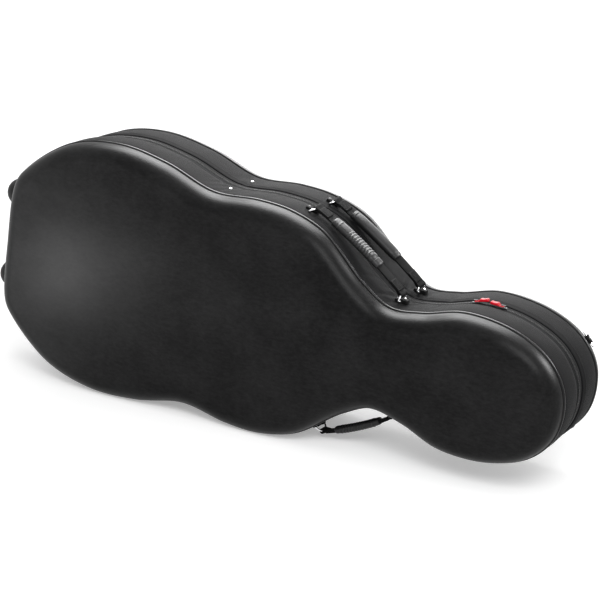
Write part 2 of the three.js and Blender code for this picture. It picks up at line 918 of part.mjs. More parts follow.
function faceDepth( x, z ) {

	for ( const [ a, b, c ] of faceFacets ) {

		const area = ( b.x - a.x ) * ( c.z - a.z ) - ( c.x - a.x ) * ( b.z - a.z );
		const shareB = ( ( x - a.x ) * ( c.z - a.z ) - ( c.x - a.x ) * ( z - a.z ) ) / area;
		const shareC = ( ( b.x - a.x ) * ( z - a.z ) - ( x - a.x ) * ( b.z - a.z ) ) / area;
		if ( Math.min( shareB, shareC, 1 - shareB - shareC ) >= 0 ) {

			return a.y + shareB * ( b.y - a.y ) + shareC * ( c.y - a.y );

		}

	}

	return baseWallDepth;

}

// A soft band laid over the base along frames, each with its own width and thickness
function laidBand( frames ) {

	const rings = frames.map( ( { place, out, width, thickness }, i ) => {

		const before = frames[ Math.max( i - 1, 0 ) ].place;
		const after = frames[ Math.min( i + 1, frames.length - 1 ) ].place;
		const across = after.clone().sub( before ).cross( out ).normalize();
		const section = [
			[ 1, - strapSink ], [ 1, thickness * strapEdgeShare ], [ strapCrownShare, thickness ],
			[ - strapCrownShare, thickness ], [ - 1, thickness * strapEdgeShare ], [ - 1, - strapSink ],
		];
		return section.map( ( [ side, rise ] ) => (
			place.clone().addScaledVector( across, side * width / 2 ).addScaledVector( out, rise ) ) );

	} );
	return seated( loft( rings, fanCap ), base );

}

// A backpack strap on the back of the base: a D-ring and hook on the rim, a shoulder pad and webbing
function strapPieces( name, side ) {

	const ringFrame = rimFrame( strapRingShare, side, strapRingAngle );
	const hang = ( geometry ) => placed( geometry, ringFrame.place.clone(), ringFrame.over, ringFrame.out );
	const overRim = ( turn, lift ) => rimFrame( strapRingShare, side, strapRingAngle + turn, lift );
	const lyingRing = dRing( strapRingRadius, strapRingWire ).rotateY( Math.PI / 2 )
		.translate( 0, 0, strapTabHeight / 2 );
	const tab = ringTab( strapTabLength, strapTabWidth, strapTabHeight, strapRingWire );
	const hookPoints = hookTurns.map( ( turn, k ) => overRim( turn, hookLiftShares[ k ] * strapTabHeight ).place );
	const onRim = [ hookTurns.at( - 1 ) + hookGapTurn, padStartTurn ].map( ( turn ) => (
		{ ...overRim( turn, seatGap ), width: strapWebWidth, thickness: strapWebThickness } ) );
	const onFace = strapPlaceShares.flatMap( ( { from, to, steps, padded } ) => (
		Array.from( { length: steps + 1 }, ( _, k ) => {

			const share = k / steps;
			const x = ( from[ 0 ] + ( to[ 0 ] - from[ 0 ] ) * share ) * caseLength;
			const z = ( from[ 1 ] + ( to[ 1 ] - from[ 1 ] ) * share ) * side * halfWidth;
			return { place: new Vector3( x, faceDepth( x, z ), z ), out: new Vector3( 0, 1, 0 ),
				width: padded ? padWidth : strapWebWidth, thickness: padded ? padThickness : strapWebThickness };

		} ) ) );
	return [
		mesh( `${name}_ring`, hang( lyingRing ), 'chrome' ),
		mesh( `${name}_tab`, seated( hang( tab ), base ), 'webbing' ),
		mesh( `${name}_hook`, tube( hookPoints, hookWire, ringSides, ringFrame.along ), 'chrome' ),
		mesh( name, laidBand( [ ...onRim, ...onFace ] ), 'padding' ),
	];

}

// A foam block inside one half, from its top down to the lining that it is trimmed to
function foamBlock( half, place, length, width, topDepth ) {

	const bottom = half.wallDepth + shellDepth;
	return box( length, bottom - topDepth, width, place[ 0 ], half.side * ( topDepth + bottom ) / 2, place[ 1 ] );

}

// A slot along x, sunk into a block from its top
function groove( half, z, width, topDepth, depth ) {

	return box( 2 * caseLength, depth + cutOverrun, width, caseLength / 2,
		half.side * ( topDepth + ( depth - cutOverrun ) / 2 ), z );

}

// The tail block holds the cello's lower end, with a bore for its end pin
function tailBlock() {

	const place = [ tailBlockLength / 2, 0 ];
	const block = fitted( foamBlock( base, place, tailBlockLength, tailBlockWidth, tailBlockDepth ), base );
	const bore = new CylinderGeometry( pinBoreRadius, pinBoreRadius, pinBoreLength + cutOverrun, notchSides );
	const reach = tailBlockLength - ( pinBoreLength - cutOverrun ) / 2;
	bore.rotateZ( Math.PI / 2 ).translate( reach, pinBoreDepth, 0 );
	return mesh( 'tail_block', cut( block, bore ), 'foam' );

}

// A pad across the base that the cello's back lies on, raised along both sides
function bodyPad( name, share, length ) {

	const top = baseWallDepth + padFloorDepth - bodyPadHeight;
	const block = foamBlock( base, [ share * caseLength, 0 ], length, caseWidth, top );
	const trough = groove( base, 0, bodyPadTrough, top, bodyPadHeight / 2 );
	return mesh( name, fitted( cut( block, trough ), base ), 'foam' );

}

function neckCradle() {

	const place = [ cradleShare * caseLength, 0 ];
	const block = foamBlock( base, place, cradleLength, cradleWidth, cradleTopDepth );
	const round = new CylinderGeometry( notchWidth / 2, notchWidth / 2, cradleLength + cutOverrun, 2 * notchSides )
		.rotateZ( Math.PI / 2 ).translate( place[ 0 ], cradleTopDepth + notchDepth - notchWidth / 2, 0 );
	const slot = groove( base, 0, notchWidth, cradleTopDepth, notchDepth - notchWidth / 2 );
	return mesh( 'neck_cradle', fitted( cut( block, slot, round ), base ), 'foam' );

}

// A strap that closes the cradle's notch, hinged on its lower side
function neckStrap() {

	const depth = cradleTopDepth - seatGap - neckStrapThickness / 2;
	const place = [ cradleShare * caseLength, depth, 0 ];
	return mesh( 'neck_strap', box( neckStrapWidth, neckStrapThickness, neckStrapSpan, ...place ), 'webbing' );

}

// An open box under the neck, and its lid with a knob
function accessoryBox() {

	const x = boxShare * caseLength;
	const bottom = baseWallDepth + padFloorDepth;
	const outer = box( boxLength, bottom - boxTopDepth, boxWidth, x, ( bottom + boxTopDepth ) / 2, 0 );
	const room = bottom - boxWall - boxTopDepth;
	const inner = box( boxLength - 2 * boxWall, room + cutOverrun, boxWidth - 2 * boxWall,
		x, boxTopDepth + ( room - cutOverrun ) / 2, 0 );
	const plateDepth = boxTopDepth - seatGap - boxLidThickness / 2;
	const overhang = 2 * boxLidOverhang;
	const plate = box( boxLength + overhang, boxLidThickness, boxWidth + overhang, x, plateDepth, 0 );
	const knob = new CylinderGeometry( boxKnobRadius, boxKnobRadius, boxKnobHeight + boxLidThickness, notchSides )
		.translate( x, plateDepth - boxKnobHeight / 2, boxWidth / 2 - boxKnobInset );
	return [
		mesh( 'accessory_box', cut( fitted( outer, base ), inner ), 'grip' ),
		mesh( 'accessory_box_lid', join( plate, knob ), 'grip' ),
	];

}

// A bar of foam across the lid with a groove for each bow
function bowRest( name, share ) {

	const place = [ share * caseLength, 0 ];
	const block = foamBlock( lid, place, bowRestLength, 2 * bowSpread + bowRestWidth, bowRestTopDepth );
	const grooves = [ - bowSpread, bowSpread ].map( ( z ) => (
		groove( lid, z, bowGrooveWidth, bowRestTopDepth, bowGrooveDepth ) ) );
	return mesh( name, fitted( cut( block, ...grooves ), lid ), 'foam' );

}

// A turning catch that lies across a bow's groove
function bowToggle( name, side ) {

	const z = side * ( bowSpread + ( bowGrooveWidth + toggleWidth ) / 2 + seatGap );
	const depth = bowRestTopDepth - seatGap - toggleThickness / 2;
	const bar = box( toggleWidth, toggleThickness, toggleLength, toggleShare * caseLength, - depth,
		z - side * ( toggleLength - toggleWidth ) / 2 );
	const pinLength = toggleThickness + togglePinHeight;
	const pin = new CylinderGeometry( togglePinRadius, togglePinRadius, pinLength, notchSides )
		.translate( toggleShare * caseLength, - depth + togglePinHeight / 2, z );
	return mesh( name, join( bar, pin ), 'grip' );

}

// A flat pocket for sheet music on the lid's lining, open towards the head end
function musicPocket() {

	const x = pocketShare * caseLength;
	const depth = lidWallDepth + pocketFloorDepth - pocketOpening;
	const sheet = box( pocketLength, pocketSheet, pocketWidth, x, - depth, 0 );
	const hem = ( length, width, dx, z ) => box( length, pocketOpening + cutOverrun, width, x + dx,
		- depth - ( pocketOpening + cutOverrun ) / 2, z );
	const hems = [
		hem( pocketHem, pocketWidth, ( pocketHem - pocketLength ) / 2, 0 ),
		...[ - 1, 1 ].map( ( side ) => hem( pocketLength, pocketHem, 0, side * ( pocketWidth - pocketHem ) / 2 ) ),
	];
	return mesh( 'music_pocket', fitted( join( sheet, ...hems ), lid ), 'nylon' );

}

const model = new Group();
const lidGroup = new Group();
const baseGroup = new Group();
model.add( lidGroup, baseGroup );
model.rotation.y = tilt;

lidGroup.add( ...shellPieces( lid ) );
baseGroup.add( ...shellPieces( base ) );
lidGroup.add( ...handlePieces( { name: 'lid_handle', half: lid, depth: lidHandleDepth, side: 1,
	tailShare: handleTailShare, neckShare: handleNeckShare, length: gripLength, shift: gripShift,
	rise: handleRise, lean: lidHandleLean, swing: handleSwing.lid, girths: ribbedGirths } ) );
baseGroup.add( ...handlePieces( { name: 'base_handle', half: base, depth: baseHandleDepth, side: 1,
	tailShare: handleTailShare, neckShare: handleNeckShare, length: gripLength, shift: gripShift,
	rise: handleRise, lean: baseHandleLean, swing: handleSwing.base, girths: sleeveGirths } ) );
lidGroup.add( ...handlePieces( { name: 'hinge_side_handle', half: lid, depth: lidHandleDepth, side: - 1,
	tailShare: hingeHandleTailShare, neckShare: hingeHandleNeckShare, length: hingeGripLength,
	shift: hingeGripShift, rise: hingeHandleRise, lean: 0, swing: handleSwing.hingeSide, girths: ribbedGirths } ) );
lidGroup.add( waistRivet( lid, lidHandleDepth ) );
baseGroup.add( waistRivet( base, baseHandleDepth ) );
lidGroup.add( footPiece( 'upper_lid_foot', lid, lidFootDepth, footSpread ) );
lidGroup.add( footPiece( 'lower_lid_foot', lid, lidFootDepth, - footSpread ) );
baseGroup.add( footPiece( 'upper_base_foot', base, baseFootDepth, footSpread ) );
baseGroup.add( footPiece( 'lower_base_foot', base, baseFootDepth, - footSpread ) );
lidGroup.add( ...sliderPieces( 'tail', tailSliderShare, 1 ), ...sliderPieces( 'head', headSliderShare, - 1 ) );
baseGroup.add( ...strapPieces( 'zip_side_strap', 1 ), ...strapPieces( 'hinge_side_strap', - 1 ) );
baseGroup.add( tailBlock(), bodyPad( 'lower_body_pad', lowerPadShare, lowerPadLength ) );
baseGroup.add( bodyPad( 'upper_body_pad', upperPadShare, upperPadLength ), neckCradle(), neckStrap() );
baseGroup.add( ...accessoryBox() );
lidGroup.add( bowRest( 'bow_frog_rest', toggleShare ), bowRest( 'bow_tip_rest', bowTipShare ) );
lidGroup.add( bowToggle( 'zip_side_bow_toggle', 1 ), bowToggle( 'hinge_side_bow_toggle', - 1 ), musicPocket() );

// The part stands on the floor with its origin under the middle of its box
const bounds = new Box3().setFromObject( model, true );
const centre = bounds.getCenter( new Vector3() );
model.position.set( - centre.x, - centre.y, - bounds.min.z );

export default model;
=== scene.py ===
"""The looks of a hard case for a cello, lying on its hinge flank.

Places are given in the case's own frame, in millimetres: x from the tail end to the head end,
z across the outline from its centre line, and y outward from the zip, the lid on the -Y side.
"""
from contextlib import contextmanager
from math import cos, exp, pi, radians, sin, sqrt

import bmesh
import bpy
import numpy as np
from mathutils import Matrix, Vector
from mathutils.bvhtree import BVHTree


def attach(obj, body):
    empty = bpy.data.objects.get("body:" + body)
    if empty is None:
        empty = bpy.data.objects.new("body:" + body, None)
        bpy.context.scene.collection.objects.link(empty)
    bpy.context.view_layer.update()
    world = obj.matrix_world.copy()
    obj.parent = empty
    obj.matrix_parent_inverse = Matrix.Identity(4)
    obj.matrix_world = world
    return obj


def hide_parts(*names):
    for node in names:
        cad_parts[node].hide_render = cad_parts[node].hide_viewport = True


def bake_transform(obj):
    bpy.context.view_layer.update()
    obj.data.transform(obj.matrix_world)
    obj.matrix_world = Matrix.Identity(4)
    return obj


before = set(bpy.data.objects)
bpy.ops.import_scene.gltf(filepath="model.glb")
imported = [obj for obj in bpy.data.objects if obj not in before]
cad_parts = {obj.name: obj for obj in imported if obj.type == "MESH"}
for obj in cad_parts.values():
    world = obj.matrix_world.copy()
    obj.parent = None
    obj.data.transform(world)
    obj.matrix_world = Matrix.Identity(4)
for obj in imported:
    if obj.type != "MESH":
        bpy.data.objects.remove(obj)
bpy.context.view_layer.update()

# ---------------- the case's frame and outline

MM = 0.001
TILT = 0.08942219
CASE_ORIGIN = np.array([-612.9718, -9.2825, 294.0010])
CASE_TURN = np.array([
    [cos(TILT), 0, sin(TILT)],
    [0, 1, 0],
    [-sin(TILT), 0, cos(TILT)],
])
FLOOR_CLEARANCE = 0.0003

CASE_LENGTH = 1280.0
HALF_WIDTH = 271.0
OUTLINE_SHARES = np.array([
    [0, 0], [0.0056, 0.4896], [0.0257, 0.6305], [0.1054, 0.9031], [0.1963, 0.9979], [0.2864, 0.9585],
    [0.3779, 0.8476], [0.4601, 0.8838], [0.5198, 0.8723], [0.5796, 0.7829], [0.6555, 0.5025],
    [0.7039, 0.3877], [0.7582, 0.4210], [0.8236, 0.5161], [0.9005, 0.4975], [0.9597, 0.3791],
    [0.9915, 0.1967], [1, 0],
])
OUTLINE_POINTS = np.vstack([OUTLINE_SHARES, OUTLINE_SHARES[-2:0:-1] * [1, -1]]) * [CASE_LENGTH, HALF_WIDTH]
SPANS = len(OUTLINE_POINTS)

WALL_DEPTH = {"lid": 85.0, "base": 95.0}
SIDE = {"lid": -1, "base": 1}
RIM_RADIUS = 38.0
SHELL_INSET = 0.5
SEAM_STEP = 3.5
DOME_RISE = 10.5
PIPING_RADIUS = 3.2
TAPE_EDGE = 15.0
SHELL_THICKNESS = 3.0
# How far under the shell's outer face the lining's two faces lie.
LINING_OUTER, LINING_INNER = 5.9, 21.9
# The lining's lip: its middle's inset and depth, and its reach each way.
LIP_INSET, LIP_DEPTH, LIP_REACH, LIP_RISE = 14.4, 9.0, 8.0, 4.0
# Shares of the case's length between which the cloth hinge and the dome's middle line run.
HINGE_ENDS = (0.12, 0.57)
SPINE_ENDS = (0.2, 0.86)


def in_row(points):
    """Places of the case's frame moved to the row's frame, in metres, none of them under the floor."""
    moved = (np.asarray(points, float) @ CASE_TURN.T + CASE_ORIGIN) * MM
    moved[..., 2] = np.maximum(moved[..., 2], FLOOR_CLEARANCE)
    return moved


def outline(t):
    """Places and outward directions (x, z) on the outline, where t counts its corner points."""
    t = np.asarray(t, float)
    first = np.floor(t).astype(int)
    w = (t - first)[:, None]
    p0, p1, p2, p3 = (OUTLINE_POINTS[(first + k) % SPANS] for k in (-1, 0, 1, 2))
    d0, d1, d2 = (np.sqrt(np.linalg.norm(b - a, axis=1))[:, None]
                  for a, b in ((p0, p1), (p1, p2), (p2, p3)))
    start = ((p1 - p0) / d0 - (p2 - p0) / (d0 + d1) + (p2 - p1) / d1) * d1
    end = ((p2 - p1) / d1 - (p3 - p1) / (d1 + d2) + (p3 - p2) / d2) * d1
    square = -3 * p1 + 3 * p2 - 2 * start - end
    cube = 2 * p1 - 2 * p2 + start + end
    place = p1 + start * w + square * w**2 + cube * w**3
    tangent = start + 2 * square * w + 3 * cube * w**2
    tangent /= np.linalg.norm(tangent, axis=1)[:, None]
    return place, np.stack([-tangent[:, 1], tangent[:, 0]], axis=1)


def flank_points(place, out, inset, depth, side):
    """Rows of points at the given insets from the outline and depths from the zip."""
    shape = (len(place), np.shape(inset)[-1])
    inset, depth = np.broadcast_to(inset, shape), np.broadcast_to(depth, shape)
    x = place[:, :1] - out[:, :1] * inset
    z = place[:, 1:] - out[:, 1:] * inset
    return np.stack([x, side * depth, z], axis=-1)


def distances(points):
    """How far each point of a path lies along it."""
    return np.concatenate([[0], np.cumsum(np.linalg.norm(np.diff(points, axis=0), axis=1))])


def arc_table(first, last, step=0.01):
    """A table from the distance along the outline to t, over the given run."""
    t = np.arange(first, last + step / 2, step)
    return t, distances(outline(t)[0])


def along_run(first, last, pitch, shift=0.0):
    """Values of t at even distances along a run of the outline."""
    t, lengths = arc_table(first, last)
    return np.interp(np.arange(shift, lengths[-1], pitch), lengths, t)


def bend(t):
    """How hollow the outline is at t, per millimetre: above 0 in the waist and the neck."""
    reach = 0.12
    (start, before), (end, after) = outline(t - reach), outline(t + reach)
    cross = before[:, 0] * after[:, 1] - before[:, 1] * after[:, 0]
    return cross / np.linalg.norm(end - start, axis=1)


def round_angles(sides):
    """Even angles round a full turn."""
    return np.arange(sides) * 2 * pi / sides


def in_plane(vectors):
    """Directions (x, z) of the outline's plane as (x, 0, z)."""
    return np.insert(vectors, 1, 0.0, axis=1)


# ---------------- shader groups and finishes

def feed(tree, socket, value):
    """Gives a socket a plain value, or links another node's output to it."""
    if isinstance(value, bpy.types.NodeSocket):
        tree.links.new(value, socket)
    else:
        socket.default_value = value


def shader_node(tree, kind, sockets=None, **settings):
    """A node with its settings and what each of its sockets is given."""
    made = tree.nodes.new("ShaderNode" + kind)
    for label, value in settings.items():
        setattr(made, label, value)
    for label, value in (sockets or {}).items():
        feed(tree, made.inputs[label], value)
    return made


def effect(name, inputs, outputs):
    """An empty shader group; returns its tree, the values it is given and the sockets of its results."""
    tree = bpy.data.node_groups.new(name, "ShaderNodeTree")
    for label, value in inputs.items():
        socket = tree.interface.new_socket(label, in_out="INPUT", socket_type="NodeSocketFloat")
        socket.default_value = value
    for label in outputs:
        tree.interface.new_socket(label, in_out="OUTPUT", socket_type="NodeSocketFloat")
    return tree, tree.nodes.new("NodeGroupInput").outputs, tree.nodes.new("NodeGroupOutput").inputs


def maths(tree, operation, *values):
    node = shader_node(tree, "Math", operation=operation)
    for socket, value in zip(node.inputs, values):
        feed(tree, socket, value)
    return node.outputs[0]


def weighed(tree, first, weight, second, other_weight):
    """The sum of two values, each by its own weight."""
    return maths(tree, "MULTIPLY_ADD", first, weight, maths(tree, "MULTIPLY", second, other_weight))


def object_place(tree, stretch=(1, 1, 1)):
    """The surface's own place in millimetres, squeezed along each axis by stretch."""
    place = shader_node(tree, "TexCoord").outputs["Object"]
    scale = [1000 * share for share in stretch]
    return shader_node(tree, "Mapping", {"Vector": place, "Scale": scale}).outputs["Vector"]


def noise(tree, vector, scale, detail=2.0, roughness=0.5):
    return shader_node(tree, "TexNoise", {"Vector": vector, "Scale": scale, "Detail": detail,
                                          "Roughness": roughness}).outputs["Fac"]


def grain_effect():
    """Moulded grain: fine pebbles of a given size, and slow clouds of tone."""
    tree, given, result = effect(
        "moulded_grain", {"Grain mm": 1.0, "Cloud mm": 90.0}, ("Height", "Cloud", "Speck"))
    place = object_place(tree)
    fine, slow = (maths(tree, "DIVIDE", 1.0, given[label]) for label in ("Grain mm", "Cloud mm"))
    pebbles = shader_node(tree, "TexVoronoi", {"Vector": place, "Scale": fine}, feature="SMOOTH_F1")
    lumps = noise(tree, place, fine, 3.0, 0.6)
    dents = maths(tree, "MULTIPLY", pebbles.outputs["Distance"], 0.6)
    feed(tree, result["Height"], maths(tree, "SUBTRACT", lumps, dents))
    feed(tree, result["Cloud"], noise(tree, place, slow, 3.0, 0.55))
    feed(tree, result["Speck"], noise(tree, place, maths(tree, "MULTIPLY", fine, 0.45), 1.0))
    return tree


def weave_effect():
    """Plain woven cloth: crossing threads of a given pitch, read from the cloth's own run."""
    tree, given, result = effect("plain_weave", {"Along mm": 1.0, "Across mm": 1.0}, ("Height", "Thread"))
    run = shader_node(tree, "Attribute", attribute_name="cloth_run").outputs["Vector"]
    parts = shader_node(tree, "SeparateXYZ", {"Vector": run}).outputs
    waves = []
    for axis, size in (("X", "Along mm"), ("Y", "Across mm")):
        turns = maths(tree, "DIVIDE", parts[axis], given[size])
        waves.append(maths(tree, "SINE", maths(tree, "MULTIPLY", turns, pi)))
    crossing = maths(tree, "MULTIPLY", *waves)
    feed(tree, result["Height"], maths(tree, "MULTIPLY_ADD", crossing, 0.5, 0.5))
    feed(tree, result["Thread"], noise(tree, object_place(tree), 0.9))
    return tree


def wear_effect():
    """Handled edges: a mask of raised edges, broken up by noise."""
    tree, given, result = effect("edge_wear", {"Reach": 0.5}, ("Mask",))
    pointed = shader_node(tree, "NewGeometry").outputs["Pointiness"]
    raised = shader_node(tree, "MapRange", {"Value": pointed, "From Min": 0.5, "From Max": 0.58})
    broken = maths(tree, "MULTIPLY", noise(tree, object_place(tree), 0.25, 4.0, 0.6), 1.4)
    masked = maths(tree, "MULTIPLY", raised.outputs["Result"], broken)
    feed(tree, result["Mask"], maths(tree, "MULTIPLY", masked, given["Reach"]))
    return tree


def painted_reflection_effect():
    """A painted reflection: a soft lighter bloom in place of the face's reflection, broken into soft strokes,
    that grows from one x to another.
    """
    tree, given, result = effect("painted_tail_reflection", {"From x": 0.0, "To x": 1.0}, ("Painted reflection",))
    place = shader_node(tree, "TexCoord").outputs["Object"]
    x = shader_node(tree, "SeparateXYZ", {"Vector": place}).outputs["X"]
    grows = shader_node(tree, "MapRange", {"Value": x, "From Min": given["From x"],
                                           "From Max": given["To x"]}, interpolation_type="SMOOTHSTEP")
    strokes = noise(tree, object_place(tree, (0.35, 1, 1)), 0.022, 5.0, 0.6)
    feed(tree, result["Painted reflection"], maths(tree, "MULTIPLY", grows.outputs["Result"], strokes))
    return tree


GRAIN, WEAVE, WEAR, PAINTED_REFLECTION = grain_effect(), weave_effect(), wear_effect(), painted_reflection_effect()


class Finish:
    """A material under construction: its tree and its main shader's sockets."""

    def __init__(self, name, roughness, **shader):
        self.material = bpy.data.materials.new(name)
        self.material.use_nodes = True
        self.tree = self.material.node_tree
        self.shader = self.tree.nodes["Principled BSDF"].inputs
        self.give(self.shader, Roughness=roughness, **shader)

    def give(self, sockets, **values):
        for label, value in values.items():
            feed(self.tree, sockets[label.replace("_", " ")], value)

    def use(self, group, **values):
        node = shader_node(self.tree, "Group", node_tree=group)
        self.give(node.inputs, **values)
        return node.outputs

    def tones(self, factor, dark, light, low=0.3, high=0.7):
        """The base colour, between two tones by a factor."""
        ramp = shader_node(self.tree, "ValToRGB", {"Fac": factor})
        for element, place, tone in zip(ramp.color_ramp.elements, (low, high), (dark, light)):
            element.position, element.color = place, (*tone, 1)
        self.give(self.shader, Base_Color=ramp.outputs["Color"])
        return ramp.outputs["Color"]

    def gloss(self, factor, low, high):
        """Roughness, between two values by a factor."""
        spread = shader_node(self.tree, "MapRange", {"Value": factor, "From Min": 0.3, "From Max": 0.7,
                                                     "To Min": low, "To Max": high})
        self.give(self.shader, Roughness=spread.outputs["Result"])

    def bump(self, height, strength, millimetres):
        relief = shader_node(self.tree, "Bump", {"Height": height, "Strength": strength,
                                                 "Distance": millimetres * MM})
        self.give(self.shader, Normal=relief.outputs["Normal"])

    def worn(self, tone, light, reach):
        """Lighter tone on handled edges, laid over the base colour."""
        mask = self.use(WEAR, Reach=reach)["Mask"]
        mix = shader_node(self.tree, "Mix", {0: mask}, data_type="RGBA")
        feed(self.tree, mix.inputs[6], tone)
        feed(self.tree, mix.inputs[7], (*light, 1))
        self.give(self.shader, Base_Color=mix.outputs[2])


def shell_finish():
    """Near-black satin moulding with a fine pebbled grain, a faint mottling, and a painted reflection that
    lightens the tail side.
    """
    finish = Finish("shell_moulding", 0.37, Specular_IOR_Level=0.10)
    grain = finish.use(GRAIN, Grain_mm=1.1, Cloud_mm=130.0)
    mottle = noise(finish.tree, object_place(finish.tree, (0.5, 1, 1)), 0.16, 6.0, 0.72)
    tone = weighed(finish.tree, mottle, 0.55, grain["Cloud"], 0.45)
    # Painted reflection: the base colour grows lighter towards the tail end in place of a soft reflection on
    # the face.
    tail_reflection = finish.use(PAINTED_REFLECTION, From_x=-0.2, To_x=-0.62)["Painted reflection"]
    tone = weighed(finish.tree, tail_reflection, 0.45, tone, 0.75)
    finish.tones(tone, (0.0010, 0.0010, 0.0011), (0.033, 0.033, 0.0334), 0.30, 0.95)
    finish.gloss(grain["Speck"], 0.34, 0.40)
    finish.bump(grain["Height"], 0.32, 0.14)
    return finish.material


def cloth_finish(name, dark, light, pitch, strength, sheen, roughness=0.72):
    """Woven nylon: threads in relief, a little tone from thread to thread, and a soft sheen."""
    finish = Finish(name, roughness, Sheen_Weight=sheen, Sheen_Roughness=0.4, Specular_IOR_Level=0.042)
    weave = finish.use(WEAVE, Along_mm=pitch, Across_mm=pitch)
    grain = finish.use(GRAIN, Grain_mm=2.5, Cloud_mm=60.0)
    tone = weighed(finish.tree, weave["Thread"], 0.5, grain["Cloud"], 0.5)
    finish.tones(tone, dark, light)
    finish.gloss(weave["Thread"], roughness - 0.08, roughness + 0.06)
    finish.bump(weave["Height"], strength, 0.3 * pitch)
    return finish.material


def webbing_finish():
    """Heavy ribbed webbing: coarse ribs across, a finer weave along."""
    finish = Finish("black_webbing", 0.66, Sheen_Weight=0.02, Sheen_Roughness=0.5, Specular_IOR_Level=0.06)
    weave = finish.use(WEAVE, Along_mm=1.5, Across_mm=2.4)
    finish.tones(weave["Height"], (0.0015, 0.0015, 0.0016), (0.0062, 0.0062, 0.0065), 0.1, 0.9)
    finish.gloss(weave["Thread"], 0.55, 0.75)
    finish.bump(weave["Height"], 0.7, 0.5)
    return finish.material


def moulded_finish(name, dark, light, roughness, grain_size, relief, specular=0.5, wear=None):
    """Moulded rubber or plastic with a fine grain, and paler handled edges where wear is given."""
    finish = Finish(name, roughness, Specular_IOR_Level=specular)
    grain = finish.use(GRAIN, Grain_mm=grain_size, Cloud_mm=35.0)
    tone = finish.tones(grain["Cloud"], dark, light)
    if wear:
        finish.worn(tone, wear, 0.5)
    finish.gloss(grain["Cloud"], roughness - 0.05, roughness + 0.07)
    finish.bump(grain["Height"], 0.3, relief)
    return finish.material


def metal_finish():
    """Bright plated wire with faint handling marks."""
    finish = Finish("bright_plating", 0.16, Metallic=1.0)
    grain = finish.use(GRAIN, Grain_mm=3.0, Cloud_mm=12.0)
    finish.tones(grain["Cloud"], (0.74, 0.74, 0.75), (0.90, 0.90, 0.91))
    finish.gloss(grain["Speck"], 0.08, 0.2)
    finish.bump(grain["Height"], 0.08, 0.05)
    return finish.material


def plush_finish(name, dark, light, pile):
    """Short plush: a soft pile in small tufts, with a strong sheen."""
    finish = Finish(name, 0.95, Sheen_Weight=0.6, Sheen_Roughness=0.35, Specular_IOR_Level=0.1)
    grain = finish.use(GRAIN, Grain_mm=pile, Cloud_mm=45.0)
    nap = noise(finish.tree, object_place(finish.tree), 1.6 / pile, 4.0, 0.7)
    tone = weighed(finish.tree, grain["Cloud"], 0.55, nap, 0.45)
    finish.tones(tone, dark, light, 0.32, 0.68)
    finish.bump(nap, 0.8, 0.8)
    return finish.material


SHELL = shell_finish()
NYLON = cloth_finish("wall_nylon", (0.0030, 0.0030, 0.0033), (0.0070, 0.0070, 0.0076), 1.0, 0.55, 0.03)
HINGE_CLOTH = cloth_finish("hinge_nylon", (0.006, 0.006, 0.0066), (0.012, 0.012, 0.0128), 1.0, 0.5, 0.04)
TAPE = cloth_finish("zip_tape_weave", (0.0030, 0.0030, 0.0033), (0.0066, 0.0066, 0.0070), 0.7, 0.5, 0.03)
POCKET = cloth_finish("pocket_nylon", (0.012, 0.013, 0.016), (0.022, 0.023, 0.028), 1.0, 0.5, 0.12)
PADDING = cloth_finish("strap_cloth", (0.0045, 0.0045, 0.005), (0.0105, 0.0105, 0.0112), 1.6, 0.6, 0.06)
WEBBING = webbing_finish()
THREAD = moulded_finish("sewing_thread", (0.007, 0.007, 0.007), (0.015, 0.015, 0.015), 0.6, 0.3, 0.12,
                        0.25)
PIPING = moulded_finish("piping_cord", (0.0020, 0.0020, 0.0022), (0.0045, 0.0045, 0.0048), 0.3, 1.4, 0.08,
                        0.2)
TEETH = moulded_finish("zip_teeth", (0.003, 0.003, 0.0032), (0.006, 0.006, 0.0063), 0.36, 0.8, 0.04, 0.2)
SLIDER = moulded_finish("black_slider", (0.003, 0.003, 0.0032), (0.007, 0.007, 0.0073), 0.28, 1.2, 0.04,
                        0.3, wear=(0.10, 0.10, 0.10))
CHROME = metal_finish()
GRIP = moulded_finish("grip_rubber", (0.004, 0.004, 0.0043), (0.008, 0.008, 0.0083), 0.36, 0.7, 0.1,
                      0.22, wear=(0.10, 0.10, 0.102))
SLEEVE = moulded_finish("sleeve_rubber", (0.003, 0.003, 0.0033), (0.006, 0.006, 0.0064), 0.38, 1.2, 0.12,
                        0.2, wear=(0.04, 0.04, 0.042))
FOOT = moulded_finish("foot_rubber", (0.005, 0.005, 0.005), (0.010, 0.010, 0.010), 0.5, 1.0, 0.15,
                      0.15, wear=(0.02, 0.02, 0.02))
PULL = moulded_finish("red_pull", (0.50, 0.004, 0.014), (0.66, 0.008, 0.022), 0.38, 0.6, 0.05, 0.12)
BOX_PLASTIC = moulded_finish("inner_moulding", (0.014, 0.014, 0.015), (0.024, 0.024, 0.025), 0.5, 0.9, 0.14,
                             wear=(0.06, 0.06, 0.06))
PLUSH = plush_finish("lining_plush", (0.030, 0.033, 0.042), (0.062, 0.067, 0.082), 1.6)
FOAM = plush_finish("block_plush", (0.024, 0.026, 0.033), (0.050, 0.054, 0.066), 1.6)


# ---------------- making pieces

def in_scene(name, data):
    made = bpy.data.objects.new(name, data)
    bpy.context.scene.collection.objects.link(made)
    return made


def assign(made, body, nodes):
    """Says what a piece rides on and the solids it stands for."""
    if body:
        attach(made, body)
    for node in nodes:
        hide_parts(node)


@contextmanager
def editing(mesh):
    """A mesh opened for editing and written back at the end."""
    edit = bmesh.new()
    edit.from_mesh(mesh)
    yield edit
    edit.to_mesh(mesh)
    edit.free()


def dress(mesh, finish):
    mesh.materials.clear()
    mesh.materials.append(finish)
    mesh.shade_smooth()


